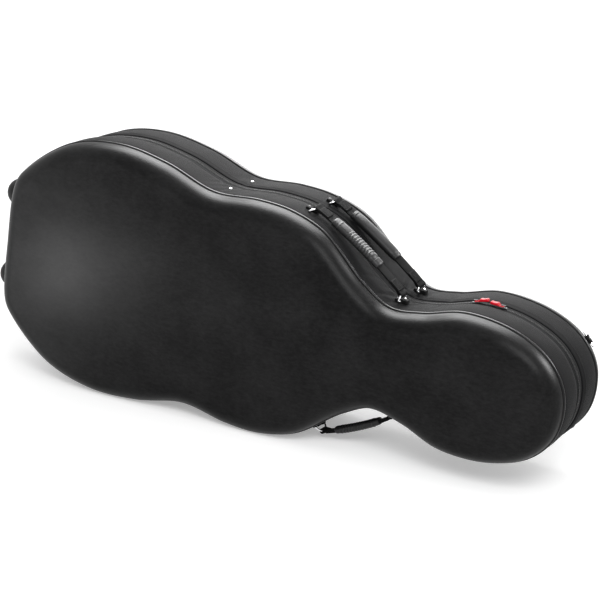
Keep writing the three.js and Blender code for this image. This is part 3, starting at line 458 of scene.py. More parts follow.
def piece(name, points, faces, finish, body, slot, run=None, replaces=(), weld=0.0):
    """A smooth piece from points of the case's frame; run holds each face corner's place on the cloth."""
    mesh = bpy.data.meshes.new(name)
    mesh.from_pydata(in_row(points).reshape(-1, 3).tolist(), [], [list(map(int, face)) for face in faces])
    if run is not None:
        layer = mesh.attributes.new("cloth_run", "FLOAT_VECTOR", "CORNER")
        flat = np.zeros((len(mesh.loops), 3), np.float32)
        flat[:, :2] = np.asarray(run, float).reshape(-1, 2)
        layer.data.foreach_set("vector", flat.ravel())
    with editing(mesh) as edit:
        if weld:
            bmesh.ops.remove_doubles(edit, verts=edit.verts, dist=weld * MM)
        bmesh.ops.recalc_face_normals(edit, faces=edit.faces)
    dress(mesh, finish)
    made = in_scene(name, mesh)
    assign(made, body, replaces)
    return made


def skin_faces(rows, size, closed_rows, closed_size):
    """Four-sided faces over rows of points."""
    i = np.arange(rows if closed_rows else rows - 1)
    j = np.arange(size if closed_size else size - 1)
    i, j = (a.ravel() for a in np.meshgrid(i, j, indexing="ij"))
    i2, j2 = (i + 1) % rows, (j + 1) % size
    return np.stack([i * size + j, i * size + j2, i2 * size + j2, i2 * size + j], axis=1), i, j


def skin_run(rows, i, j, closed_rows, closed_size):
    """Where each face corner lies on the cloth, in millimetres along and across."""
    def steps(points, closed):
        return distances(np.concatenate([points, points[:1]]) if closed else points)

    along = steps(rows[:, 0] if closed_rows else rows.mean(axis=1), closed_rows)
    across = steps(rows[len(rows) // 3], closed_size)
    corners = [(along[i + a], across[j + b]) for a, b in ((0, 0), (0, 1), (1, 1), (1, 0))]
    return np.stack([np.stack(corner, axis=1) for corner in corners], axis=1)


def skin(name, rows, finish, body, slot, closed_rows=False, closed_size=True, **options):
    """A piece whose skin runs over rows of points; an open run is capped at both ends."""
    rows = np.asarray(rows, float)
    count, size = rows.shape[:2]
    faces, i, j = skin_faces(count, size, closed_rows, closed_size)
    run = skin_run(rows, i, j, closed_rows, closed_size).reshape(-1, 2)
    faces = faces.tolist()
    if closed_size and not closed_rows:
        for ring in (range(size), range((count - 1) * size, count * size)):
            faces.append(list(ring))
            run = np.concatenate([run, np.zeros((size, 2))])
    return piece(name, rows.reshape(-1, 3), faces, finish, body, slot, run=run, **options)


def rounded(width, height, radius, steps=4):
    """Corners of a rounded rectangle about its centre, as (across, up)."""
    points = []
    for quarter, (sx, sy) in enumerate(((1, 1), (-1, 1), (-1, -1), (1, -1))):
        for k in range(steps + 1):
            angle = pi / 2 * (quarter + k / steps)
            points.append((sx * (width / 2 - radius) + radius * cos(angle),
                           sy * (height / 2 - radius) + radius * sin(angle)))
    return np.array(points)


def section_at(x, middle, width, height, radius, steps=4):
    """Corners of a rounded rectangle that stands across x, its middle at a height."""
    return [(x, across, up + middle) for across, up in rounded(width, height, radius, steps)]


def unit(vector):
    vector = np.asarray(vector, float)
    return vector / np.linalg.norm(vector, axis=-1, keepdims=True)


def swept(path, section, sideways, closed=False):
    """Rows of a section, as (sideways, up), swept along a path."""
    steps = np.roll(path, -1, axis=0) - np.roll(path, 1, axis=0) if closed else np.gradient(path, axis=0)
    ahead = unit(steps)
    up = unit(np.cross(np.broadcast_to(sideways, path.shape), ahead))
    side = unit(np.cross(ahead, up))
    return path[:, None] + side[:, None] * section[..., :1] + up[:, None] * section[..., 1:]


def circle(radius, sides):
    angles = round_angles(sides)
    return np.stack([radius * np.cos(angles), radius * np.sin(angles)], axis=1)


def smooth_path(points, count, closed=False):
    """A smooth curve through points, at even distances."""
    points = np.asarray(points, float)
    n = len(points)
    fine = []
    for k in range(n if closed else n - 1):
        near = range(k - 1, k + 3)
        p0, p1, p2, p3 = (points[i % n] if closed else points[min(max(i, 0), n - 1)] for i in near)
        for w in np.linspace(0, 1, 16, endpoint=False):
            fine.append(0.5 * (2 * p1 + (p2 - p0) * w + (2 * p0 - 5 * p1 + 4 * p2 - p3) * w**2
                               + (3 * p1 - p0 - 3 * p2 + p3) * w**3))
    fine = np.array(fine + [points[0] if closed else points[-1]])
    lengths = distances(fine)
    places = np.linspace(0, lengths[-1], count, endpoint=not closed)
    return along_path(places, lengths, fine)


def along_path(places, lengths, values):
    """Values given at some lengths of a path, read at other places on it."""
    return np.stack([np.interp(places, lengths, values[:, k]) for k in range(values.shape[1])], axis=1)


BEAD_SIDES, BEAD_RINGS = 8, 5


def beads(name, centres, along, up, half_sizes, finish, body, slot):
    """A row of small rounded beads: stitches, teeth or studs, each with its own directions."""
    side = np.cross(along, up)
    ring = np.array([[cos(p), sin(p) * cos(a), sin(p) * sin(a)]
                     for p in np.linspace(0, pi, BEAD_RINGS)[1:-1] for a in round_angles(BEAD_SIDES)])
    shape = np.vstack([ring, [[1, 0, 0], [-1, 0, 0]]]) * half_sizes
    points = (centres[:, None] + along[:, None] * shape[None, :, :1] + side[:, None] * shape[None, :, 1:2]
              + up[:, None] * shape[None, :, 2:])
    last = (BEAD_RINGS - 3) * BEAD_SIDES
    tip, tail = len(ring), len(ring) + 1
    faces = skin_faces(BEAD_RINGS - 2, BEAD_SIDES, False, True)[0].tolist()
    faces += [[tip, (k + 1) % BEAD_SIDES, k] for k in range(BEAD_SIDES)]
    faces += [[tail, last + k, last + (k + 1) % BEAD_SIDES] for k in range(BEAD_SIDES)]
    every = [[len(shape) * n + v for v in face] for n in range(len(centres)) for face in faces]
    return piece(name, points.reshape(-1, 3), every, finish, body, slot)


def stitch_row(path, up, pitch=3.4):
    """Centres, directions and upward sides of stitches at even distances along a path."""
    up = np.broadcast_to(up, path.shape)
    lengths = distances(path)
    places = np.arange(pitch / 2, lengths[-1], pitch)
    centre, lift, ahead = (along_path(places, lengths, v) for v in (path, up, np.gradient(path, axis=0)))
    lift = unit(lift)
    return centre, unit(ahead - lift * (ahead * lift).sum(axis=1, keepdims=True)), lift


def stitches(name, rows, body, slot, size=(1.25, 0.42, 0.36)):
    """Sewn lines, each given as a path with its upward side."""
    parts = [stitch_row(*row) for row in rows]
    centre, ahead, lift = (np.concatenate([part[k] for part in parts]) for k in range(3))
    beads(name, centre, ahead, lift, np.array(size), THREAD, body, slot)


def eased_copy(name, node, finish, width, body=None):
    """A solid's own form with its edges eased, shown in its place; it rides on body or on itself."""
    made = in_scene(name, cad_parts[node].data.copy())
    with editing(made.data) as edit:
        bmesh.ops.remove_doubles(edit, verts=edit.verts, dist=1e-6)
        bmesh.ops.dissolve_limit(edit, angle_limit=radians(1), verts=edit.verts, edges=edit.edges)
    dress(made.data, finish)
    easing = made.modifiers.new("eased_edges", "BEVEL")
    easing.width, easing.segments, easing.limit_method = width * MM, 3, "ANGLE"
    easing.angle_limit = radians(35)
    easing.harden_normals = False
    made.modifiers.new("flat_faces", "WEIGHTED_NORMAL").keep_sharp = True
    assign(made, body or node, [node])


FILL_FRAMES, FILL_PRESSURE = 20, 4.0
filled = []


def soft_copy(name, node, finish, body, voxel=5.0, ease=2.5, cap=3.2):
    """A foam block in its plush cover, drawn in a little and listed to be filled out by simulation."""
    made = in_scene(name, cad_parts[node].data.copy())
    remesh = made.modifiers.new("even_faces", "REMESH")
    remesh.mode, remesh.voxel_size, remesh.use_smooth_shade = "VOXEL", voxel * MM, True
    relax = made.modifiers.new("rounded_over", "SMOOTH")
    relax.factor, relax.iterations = 0.5, 5
    bpy.context.view_layer.update()
    graph = bpy.context.evaluated_depsgraph_get()
    mesh = bpy.data.meshes.new_from_object(made.evaluated_get(graph))
    made.modifiers.clear()
    made.data = mesh
    dress(mesh, finish)
    with editing(mesh) as edit:
        edit.normal_update()
        for corner in edit.verts:
            corner.co -= corner.normal * ease * MM
    assign(made, body, [node])
    filled.append((made, cap))


def corners_of(mesh):
    flat = np.empty(len(mesh.vertices) * 3)
    mesh.vertices.foreach_get("co", flat)
    return flat.reshape(-1, 3)


def fill_out(pieces):
    """Inflates padded pieces as cloth under a light pressure; each point moves by its cap at most."""
    for made, _ in pieces:
        cover = made.modifiers.new("filling", "CLOTH")
        cover.settings.use_pressure = True
        cover.settings.uniform_pressure_force = FILL_PRESSURE
        cover.settings.quality = 4
        cover.settings.effector_weights.gravity = 0.0
        cover.collision_settings.use_collision = False
        cover.point_cache.frame_start, cover.point_cache.frame_end = 1, FILL_FRAMES
    for step in range(1, FILL_FRAMES + 1):
        bpy.context.scene.frame_set(step)
    graph = bpy.context.evaluated_depsgraph_get()
    for made, cap in pieces:
        before = corners_of(made.data)
        moved = corners_of(made.evaluated_get(graph).data) - before
        way = np.linalg.norm(moved, axis=1, keepdims=True)
        after = before + moved * np.minimum(1, cap * MM / np.maximum(way, 1e-9))
        made.modifiers.remove(made.modifiers["filling"])
        made.data.vertices.foreach_set("co", after.ravel())
        made.data.update()
    bpy.context.scene.frame_set(1)
    for made, _ in pieces:
        finer = made.modifiers.new("one_subdivision", "SUBSURF")
        finer.levels = finer.render_levels = 1


# ---------------- camera, floor and light

VIEW_TURN, VIEW_RISE, VIEW_ROLL = (radians(a) for a in (26.1855, 18.9022, 8.5417))
VIEW_TARGET = np.array([666.14, 0, 31.23])
VIEW_DISTANCE = 3500.40
VIEW_LENS = 103.164

SURROUND_LIGHT = 0.8
FLOOR_LIFT = {"From Min": 0.9, "From Max": 2.8, "To Min": 0.32, "To Max": 0.5}
FLOOR_REACH = 14.0
SOFTBOXES = (
    # name, place, target, size, power, and whether it shows in reflections alone
    ("overhead_softbox", (-0.35, 1.05, 2.35), (-0.12, 0.0, 0.48), (0.95, 0.5), 8, False),
    ("front_softbox", (1.5, -2.3, 2.3), (0.2, -0.3, 0.0), (1.5, 1.2), 62, False),
    ("overhead_panel", (-0.55, 0.72, 2.60), (-0.55, 0.72, 0.0), (2.3, 1.4), 255, True),
    ("high_backdrop_panel", (-0.55, 2.10, 2.45), (-0.35, 0.0, 0.5), (2.4, 1.3), 100, True),
    ("backdrop_panel", (-0.60, 2.70, 1.20), (-0.30, 0.0, 0.4), (2.4, 1.5), 50, True),
    ("head_panel", (2.05, 0.80, 1.70), (0.55, 0.0, 0.28), (0.9, 0.9), 120, True),
    ("tail_panel", (-0.80, -0.62, 0.03), (-0.50, -0.13, 0.22), (0.26, 0.34), 3.9, True),
)


def photo_camera():
    back = np.array([sin(VIEW_TURN) * cos(VIEW_RISE), -cos(VIEW_TURN) * cos(VIEW_RISE),
                     sin(VIEW_RISE)])
    right = np.array([cos(VIEW_TURN), sin(VIEW_TURN), 0])
    up = np.cross(back, right)
    across = cos(VIEW_ROLL) * right + sin(VIEW_ROLL) * up
    upward = -sin(VIEW_ROLL) * right + cos(VIEW_ROLL) * up
    data = bpy.data.cameras.new("photo_camera")
    data.lens, data.sensor_width, data.sensor_fit = VIEW_LENS, 36, "HORIZONTAL"
    data.clip_start, data.clip_end = 0.05, 60
    camera = in_scene("photo_camera", data)
    matrix = np.eye(4)
    matrix[:3, :3] = CASE_TURN @ np.stack([across, upward, back], axis=1)
    matrix[:3, 3] = (CASE_TURN @ (VIEW_TARGET + back * VIEW_DISTANCE) + CASE_ORIGIN) * MM
    camera.matrix_world = Matrix(matrix.tolist())
    bpy.context.scene.camera = camera


def soft_light(name, place, target, size, power, reflections_only):
    data = bpy.data.lights.new(name, "AREA")
    data.shape, data.size, data.size_y, data.energy = "RECTANGLE", *size, power
    lamp = in_scene(name, data)
    lamp.location = place
    lamp.rotation_euler = (Vector(target) - Vector(place)).to_track_quat("-Z", "Y").to_euler()
    lamp.visible_camera = False
    lamp.visible_diffuse = not reflections_only


def seen_directly(tree):
    """1 where the camera or a reflection sees the surface, 0 where it lights something."""
    rays = shader_node(tree, "LightPath").outputs
    return maths(tree, "MAXIMUM", rays["Is Camera Ray"], rays["Is Glossy Ray"])


def studio():
    """A white floor that keeps the case's shadow, a white surround and large soft lights."""
    floor = Finish("studio_floor", 0.9, Specular_IOR_Level=0.0, Emission_Color=(1, 1, 1, 1))
    grain = floor.use(GRAIN, Grain_mm=40.0, Cloud_mm=900.0)
    floor.tones(grain["Cloud"], (0.86, 0.86, 0.86), (0.88, 0.88, 0.88))
    place = shader_node(floor.tree, "TexCoord").outputs["Object"]
    away = shader_node(floor.tree, "VectorMath", {0: place}, operation="LENGTH").outputs["Value"]
    fade = shader_node(floor.tree, "MapRange", {"Value": away, **FLOOR_LIFT},
                       interpolation_type="SMOOTHSTEP")
    lift = maths(floor.tree, "MULTIPLY", fade.outputs["Result"], seen_directly(floor.tree))
    floor.give(floor.shader, Emission_Strength=lift)
    mesh = bpy.data.meshes.new("studio_floor")
    corners = [(x * FLOOR_REACH, y * FLOOR_REACH, 0) for x, y in ((-1, -1), (1, -1), (1, 1), (-1, 1))]
    mesh.from_pydata(corners, [], [(0, 1, 2, 3)])
    mesh.materials.append(floor.material)
    in_scene("studio_floor", mesh)

    world = bpy.data.worlds.new("studio_surround")
    bpy.context.scene.world = world
    world.use_nodes = True
    sky = world.node_tree.nodes["Background"].inputs
    sky["Color"].default_value = (1, 1, 1, 1)
    strength = maths(world.node_tree, "MAXIMUM", seen_directly(world.node_tree), SURROUND_LIGHT)
    feed(world.node_tree, sky["Strength"], strength)

    for light in SOFTBOXES:
        soft_light(*light)
    bpy.context.scene.view_settings.view_transform = "Standard"


photo_camera()
studio()

# ---------------- shells, walls, piping and linings

PER_SPAN, WALL_PER_SPAN = 12, 24
OUTLINE_LENGTH = arc_table(0, SPANS)[1][-1]
GATHER_PHASE = {"lid": 1.7, "base": 0.4}
# Swells of the wall's cloth: how many round the outline, their height, and how they turn over the
# wall's depth and with the phase.
SWELLS = ((7, 0.9, 0, 1), (17, 0.7, 0, 2.1), (41, 0.45, 3.3, 1))
FOLD_PITCH, SLANT_FOLD_PITCH = 23.0, 37.0
# How hollow the outline has to be before the cloth folds, and how much more for its full folds.
HOLLOW_FROM, HOLLOW_REACH = 0.0012, 0.006
# How deep the cloth is tucked at the zip and at the piping, and how far each tuck reaches.
ZIP_TUCK, PIPING_TUCK = (1.6, 2.0), (1.8, 2.2)
# How far from the tape the wall's hem is sewn, and the row of the wall's skin that it lies on.
HEM_DEPTH, HEM_ROW = 7.0, 4


def whole_outline():
    return outline(np.arange(SPANS * PER_SPAN) / PER_SPAN)


def face_rows(half, under, rim_steps, dome_steps):
    """Rows from the rim's start over the rounded rim and the dome to the centre line."""
    place, out = whole_outline()
    side, start = SIDE[half], WALL_DEPTH[half] + SEAM_STEP
    radius = RIM_RADIUS - under
    angles = np.linspace(0, pi / 2, rim_steps)
    rim = flank_points(place, out, SHELL_INSET + RIM_RADIUS - radius * np.cos(angles),
                       start + radius * np.sin(angles), side)
    edge = place - out * (SHELL_INSET + RIM_RADIUS)
    along_middle = np.clip(edge[:, 0], SPINE_ENDS[0] * CASE_LENGTH, SPINE_ENDS[1] * CASE_LENGTH)
    spine = np.stack([along_middle, np.zeros(len(edge))], axis=1)
    shares = np.linspace(0, 1, dome_steps + 1)[1:]
    flat = edge[:, None] + (spine - edge)[:, None] * shares[None, :, None]
    depth = start + radius + DOME_RISE * (1 - (1 - shares) ** 2)
    dome = np.stack([flat[..., 0], np.broadcast_to(side * depth, flat.shape[:2]), flat[..., 1]], axis=-1)
    return np.concatenate([rim, dome], axis=1)


def shell(half):
    outer = face_rows(half, 0, 14, 12)
    inner = face_rows(half, SHELL_THICKNESS, 8, 6)
    lip = (outer[:, :1] + inner[:, :1]) / 2
    lip[..., 1] -= SIDE[half] * 0.9
    rows = np.concatenate([outer[:, ::-1], lip, inner], axis=1)
    skin(f"{half}_shell_moulding", rows, SHELL, half, "shell", closed_rows=True, closed_size=False,
         replaces=[f"{half}_shell"], weld=0.02)


def gathers(t, share, half):
    """How far a wall's cloth stands out at t and at a share of its depth: its fill, folds and puckers."""
    lengths = distances(outline(t)[0])[:, None]
    hollow = np.clip((bend(t) - HOLLOW_FROM) / HOLLOW_REACH, 0, 1)[:, None]
    middle = 1 - np.abs(2 * share - 1) ** 2.4
    phase = GATHER_PHASE[half]
    turns, full_turn = 2 * pi / OUTLINE_LENGTH, 2 * pi
    lumps = sum(height * np.sin(count * turns * lengths + over * share + start * phase)
                for count, height, over, start in SWELLS)
    slant = 34 * (share - 0.5) + 9 * np.sin(9 * turns * lengths + phase)
    folds = (np.sin(full_turn * (lengths + slant) / FOLD_PITCH)
             + 0.5 * np.sin(full_turn * (lengths - slant) / SLANT_FOLD_PITCH))
    fade = (1 - share) ** 0.7 * share**0.25 * 1.5
    return middle * (2.6 + 0.45 * lumps) + hollow * (1.15 * folds * fade - 0.6 * middle)


def wall(half):
    """The padded nylon wall between the zip and the piping, full at its middle and tucked at its seams."""
    count = SPANS * WALL_PER_SPAN
    t = np.arange(count) / WALL_PER_SPAN
    place, out = outline(t)
    start, end = TAPE_EDGE + 0.3, WALL_DEPTH[half] - SEAM_STEP
    share = np.linspace(0, 1, 23)[None]
    from_zip = share * (end - start)
    hem = np.exp(-((from_zip - HEM_DEPTH) / 1.3) ** 2) * 0.9
    tuck = (ZIP_TUCK[0] * np.exp(-from_zip / ZIP_TUCK[1])
            + PIPING_TUCK[0] * np.exp(-(end - start - from_zip) / PIPING_TUCK[1]))
    inset = -(gathers(t, share, half) - hem - tuck)
    depth = np.broadcast_to(start + from_zip, inset.shape)
    inner_inset = np.full((len(t), 3), 6.0)
    inner_depth = np.broadcast_to([end, (start + end) / 2, start], inner_inset.shape)
    rows = flank_points(place, out, np.concatenate([inset, inner_inset], axis=1),
                        np.concatenate([depth, inner_depth], axis=1), SIDE[half])
    skin(f"{half}_wall_cloth", rows, NYLON, half, "wall_nylon", closed_rows=True, replaces=[f"{half}_wall"])
    loop = np.arange(count + 1) % count
    lift = in_plane(out[loop])
    sewn = [(rows[loop, HEM_ROW] + 0.15 * lift, lift)]
    stitches(f"{half}_wall_hem_stitching", sewn, half, "wall_nylon", size=(1.3, 0.4, 0.35))


def piping(half):
    place, out = whole_outline()
    angles = round_angles(14)
    rows = flank_points(place, out, 1.0 + PIPING_RADIUS * np.cos(angles)[None],
                        WALL_DEPTH[half] + PIPING_RADIUS * np.sin(angles)[None], SIDE[half])
    skin(f"{half}_piping_cord", rows, PIPING, half, "piping", closed_rows=True, replaces=[f"{half}_piping"])


def lining(half):
    """Plush-covered foam inside a half: full at its lip, drawn in along a sewn seam round the face."""
    outer = face_rows(half, LINING_OUTER, 5, 5)
    inner = face_rows(half, LINING_INNER, 9, 14)
    place, out = whole_outline()
    turn = np.linspace(pi, 0, 9)
    lip = flank_points(place, out, LIP_INSET + LIP_REACH * np.cos(turn),
                       LIP_DEPTH - LIP_RISE * np.sin(turn), SIDE[half])
    down = np.linspace(0.12, 0.94, 8) * (WALL_DEPTH[half] + SEAM_STEP)
    swell = 1.2 * np.sin(np.linspace(0, pi, 8)) ** 0.6
    inside = flank_points(place, out, 21.8 + swell, down, SIDE[half])
    rows = np.concatenate([outer[:, ::-1], lip, inside, inner], axis=1)
    made = skin(f"{half}_lining_plush", rows, PLUSH, half, "lining_plush", closed_rows=True,
                closed_size=False, replaces=[f"{half}_lining"], weld=0.02)


for each in ("lid", "base"):
    shell(each)
    wall(each)
    piping(each)
    lining(each)

# ---------------- the zip and the cloth hinge

coarse_place = outline(np.arange(2 * SPANS) / 2)[0]
coarse_x = coarse_place[:, 0] / CASE_LENGTH
hinge_first = next(i for i in range(SPANS + 1, 2 * SPANS) if coarse_x[i] < HINGE_ENDS[1]) / 2
hinge_last = max(i for i in range(2 * SPANS) if coarse_x[i] > HINGE_ENDS[0]) / 2
ZIP_RUN = (hinge_last - SPANS, hinge_first)
HINGE_RUN = (hinge_first, hinge_last)
TOOTH_PITCH, TOOTH_SLANT = 3.2, 0.16
TOOTH_INSET, TOOTH_DEPTH, TOOTH_SIZE = 2.05, 1.55, (1.0, 1.7, 1.15)
HINGE_FACES, HINGE_SAG = (1.1, 2.7), 0.35
BLEND_SHARE, BLEND_REACH = 0.36, 9.0


def zip_half(half):
    """One half of the zip: a woven tape, a corded edge and a coil of teeth."""
    side = SIDE[half]
    place, out = outline(along_run(ZIP_RUN[0] + 0.01, ZIP_RUN[1] - 0.01, 6.0))
    inset = np.array([2.0, 1.75, 2.3, 2.3, 2.45, 3.6, 3.8, 3.8])[None]
    depth = np.array([1.6, 3.4, 4.4, 10.0, TAPE_EDGE, TAPE_EDGE, 8.0, 1.6])[None]
    rows = flank_points(place, out, inset, depth, side)
    skin(f"{half}_zip_weave", rows, TAPE, half, "zip_tape", replaces=[f"{half}_zip_tape"])
    shift = 0.0 if half == "lid" else TOOTH_PITCH / 2
    place, out = outline(along_run(*ZIP_RUN, TOOTH_PITCH, shift + 1.0))
    centre = flank_points(place, out, np.array([[TOOTH_INSET]]), np.array([[TOOTH_DEPTH]]), side)[:, 0]
    slanted = unit(in_plane(out[:, ::-1] * [1, -1]) + side * TOOTH_SLANT * np.array([0, 1, 0]))
    beads(f"{half}_zip_teeth", centre, slanted, in_plane(out), np.array(TOOTH_SIZE), TEETH, half, "zip_tape")


def cloth_hinge():
    """One strip of nylon sewn to both halves along the hinge flank."""
    place, out = outline(along_run(HINGE_RUN[0] + 0.01, HINGE_RUN[1] - 0.01, 5.0))
    depth = np.linspace(-TAPE_EDGE, TAPE_EDGE, 21)
    sag = HINGE_SAG * np.cos(depth / TAPE_EDGE * pi / 2)
    outer, inner = (flank_points(place, out, (inset + sag)[None], depth[None], 1) for inset in HINGE_FACES)
    rows = np.concatenate([outer, inner[:, ::-1]], axis=1)
    made = skin("hinge_strip", rows, HINGE_CLOTH, None, "wall_nylon",
                replaces=["lid_hinge_cloth", "base_hinge_cloth"])
    middle = in_row(np.array([[BLEND_SHARE * CASE_LENGTH, 0, -HALF_WIDTH]]))[0]
    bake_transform(made)


for each in ("lid", "base"):
    zip_half(each)
cloth_hinge()


# ---------------- places on the flanks

def flank_frame(share, side):
    """A place on the zip flank (side 1) or the hinge flank (side -1), along it and out of it."""
    x = share * CASE_LENGTH
    top = coarse_place[:SPANS + 1]
    ahead = next(i for i in range(2, len(top)) if top[i, 0] > x)
    start, end = top[ahead - 1], top[ahead]
    place = start + (end - start) * (x - start[0]) / (end[0] - start[0])
    along = unit(end - start)
    return [np.array([v[0], 0, v[1] * side]) for v in (place, along, (-along[1], along[0]))]


class Seat:
    """A local frame on the case: x along, z out, y across, all in millimetres."""

    def __init__(self, origin, along, out, lean=0.0):
        self.origin = np.asarray(origin, float)
        across = np.cross(out, along)
        turn = radians(lean)
        self.axes = np.array([along, cos(turn) * across + sin(turn) * np.asarray(out),
                              -sin(turn) * across + cos(turn) * np.asarray(out)])

    def place(self, points):
        return self.origin + np.asarray(points, float) @ self.axes

    def aim(self, vectors):
        return np.asarray(vectors, float) @ self.axes


def on_flank(share, side, half, depth):
    place, along, out = flank_frame(share, side)
    place[1] = SIDE[half] * depth
    return Seat(place, along, out)


# ---------------- rings, tabs and rivets

def ring_path(radius, corner=3.2):
    """A D: its bar along y at z 0, its bow standing up in z."""
    bow = [(0, radius * cos(a), radius * sin(a)) for a in np.linspace(0.16, pi - 0.16, 30)]
    bar = [(0, y, 0) for y in np.linspace(-radius + corner, radius - corner, 9)]
    return smooth_path(np.array(bow + bar), 72, closed=True)


def d_ring(name, seat, radius, wire, body, shift, tilt):
    """A D-ring of round wire; tilt lays its bow over towards x, in degrees."""
    rows = swept(ring_path(radius), circle(wire, 12), np.array([1.0, 0, 0]), closed=True)
    c, s = cos(radians(tilt)), sin(radians(tilt))
    rows = np.stack([rows[..., 0] * c + rows[..., 2] * s, rows[..., 1], rows[..., 2] * c - rows[..., 0] * s],
                    axis=-1)
    skin(f"{name}_wire", seat.place(rows + np.asarray(shift, float)), CHROME, body, "chrome",
         closed_rows=True, replaces=[name])


def dome_rows(radius, height, sink, flange):
    """Rows of a dome-headed rivet, from its foot to its crown."""
    profile = [(radius + flange, -sink), (radius + flange, 0.12 * height),
               (radius + flange * 0.5, 0.22 * height)]
    for a in np.linspace(0.1, 1.5, 7):
        profile.append((radius * cos(a), height * (0.22 + 0.78 * sin(a))))
    return np.array([[(r * cos(a), r * sin(a), z) for a in round_angles(20)] for r, z in profile])


def rivet(name, seat, place, radius, height, finish, slot, body, **options):
    rows = dome_rows(radius, height, sink=1.3, flange=0.35) + np.asarray(place, float)
    skin(name, seat.place(rows), finish, body, slot, **options)


# How far a tab reaches into its seat, the rounding of its ends, and its rivets.
TAB_SINK, TAB_END = 4.5, 1.6
TAB_RIVET_INSET, TAB_RIVET_RADIUS, TAB_RIVET_HEIGHT = 4.0, 2.5, 1.2


def ring_tab(node, seat, length, width, height, wire, body):
    """A folded webbing tab over a ring's bar: two ends riveted flat, a hump round the bar."""
    reach = length / 2
    crown = wire + 2.6
    top = []
    for x in np.linspace(-reach, reach, 41):
        hump = (height / 2 + crown) * exp(-(x / (crown * 1.15)) ** 4)
        flat = height - 0.5 - 0.9 * (1 - abs(x) / reach)
        top.append((x, max(flat, hump)))
    rows = []
    for x, z in top:
        end = max(0.0, abs(x) - (reach - TAB_END)) / TAB_END
        drop = TAB_END * (1 - sqrt(max(0.0, 1 - end**2)))
        rows.append(section_at(x, (z - drop - TAB_SINK) / 2, width - 0.6 * drop, z - drop + TAB_SINK, 1.5))
    skin(f"{node}_fold", seat.place(np.array(rows)), WEBBING, body, "webbing", replaces=[node])
    for end, label in ((-1, "near"), (1, "far")):
        rivet(f"{node}_{label}_rivet", seat, (end * (reach - TAB_RIVET_INSET), 0, height - 0.7),
              TAB_RIVET_RADIUS, TAB_RIVET_HEIGHT, SLIDER, "slider_black", body)
    seam = width / 2 - 1.8
    lines = [(seat.place([(x, y, z + 0.05) for x, z in top[2:-2]]), seat.aim([0, 0, 1]))
             for y in (-seam, seam)]
    stitches(f"{node}_stitching", lines, body, "webbing", size=(1.2, 0.4, 0.32))


# ---------------- carrying handles

RING_RADIUS, RING_WIRE, RING_TILT = 18.0, 2.2, 25.0
TAB_LENGTH, TAB_WIDTH, TAB_HEIGHT = 26.0, 14.0, 9.4
WEB_WIDTH, WEB_LAYER = 18.0, 2.15
LOOP_INSET, LOOP_HEIGHT = 7.0, 16.6
# The loop round a ring's bow: its play, how far its middle is off the wire, and its lead to the arch.
LOOP_PLAY, LOOP_OFFSET, LOOP_LEAD = 1.3, 1.2, 13
FLAP_START, FLAP_END, SEAM_INSET = 32, 7, 2.2
GRIP_WIDTH, GRIP_HEIGHT = 24.0, 17.0
GRIP_SIDES, GRIP_ROUNDNESS = 32, 0.86
FITTING_DEPTH = {"lid": 42.0, "base": 45.0}
ZIP_SIDE_RINGS, HINGE_SIDE_RINGS = (0.5345, 0.7075), (0.6, 0.7225)
WAIST_RIVET_SHARE = 0.3867


def arch(x, half_span, rise):
    return LOOP_HEIGHT + rise * (1 - (x / (half_span - LOOP_INSET)) ** 2)


def webbing_loop(half_span, rise):
    """Webbing folded round both rings' bows: one closed run, its two layers lying together."""
    tilt = radians(RING_TILT)
    turn = RING_WIRE + LOOP_PLAY + WEB_LAYER / 2
    centre_x = half_span - LOOP_INSET + LOOP_OFFSET * sin(tilt)
    centre_z = LOOP_HEIGHT - LOOP_OFFSET * cos(tilt)
    reach = half_span - LOOP_INSET - LOOP_LEAD
    run = []
    for end, degrees in ((1, (112, -112)), (-1, (-68, -292))):
        for x in np.linspace(-end * reach, end * reach, 41):
            run.append((x, arch(x, half_span, rise) + end * (WEB_LAYER / 2 + 0.05)))
        for a in np.linspace(*np.radians(degrees), 15):
            run.append((end * centre_x + turn * cos(a), centre_z + turn * sin(a)))
    return smooth_path([(x, 0, z) for x, z in run], 300, closed=True)


def handle_webbing(name, seat, half_span, rise, body):
    section = rounded(WEB_WIDTH, WEB_LAYER, 0.8, 3)
    rows = seat.place(swept(webbing_loop(half_span, rise), section, np.array([0, 1.0, 0]), closed=True))
    skin(f"{name}_band", rows, WEBBING, body, "webbing", closed_rows=True, replaces=[name])
    lines, lift = [], seat.aim([0, 0, 1])
    for end, label in ((-1, "tail"), (1, "neck")):
        xs = np.linspace(half_span - LOOP_INSET - FLAP_START, half_span - LOOP_INSET - FLAP_END, 14)
        top = arch(xs, half_span, rise) + WEB_LAYER + 0.1
        flap = [section_at(end * x, z + WEB_LAYER / 2, WEB_WIDTH - 0.8, WEB_LAYER, 0.9, 3)
                for x, z in zip(xs, top)]
        skin(f"{name}_{label}_flap", seat.place(np.array(flap)), WEBBING, body, "webbing")
        xs, high = xs[1:-1], (top + WEB_LAYER + 0.1)[1:-1]
        half = WEB_WIDTH / 2 - SEAM_INSET
        for y0, y1 in ((-half, -half), (half, half), (-half, half), (half, -half)):
            ys = np.linspace(y0, y1, len(xs))
            lines.append((seat.place(np.stack([end * xs, ys, high], axis=1)), lift))
        for k in (0, -1):
            lines.append((seat.place([(end * xs[k], y, high[k]) for y in np.linspace(-half, half, 6)]), lift))
    stitches(f"{name}_stitching", lines, body, "webbing", size=(1.15, 0.4, 0.3))


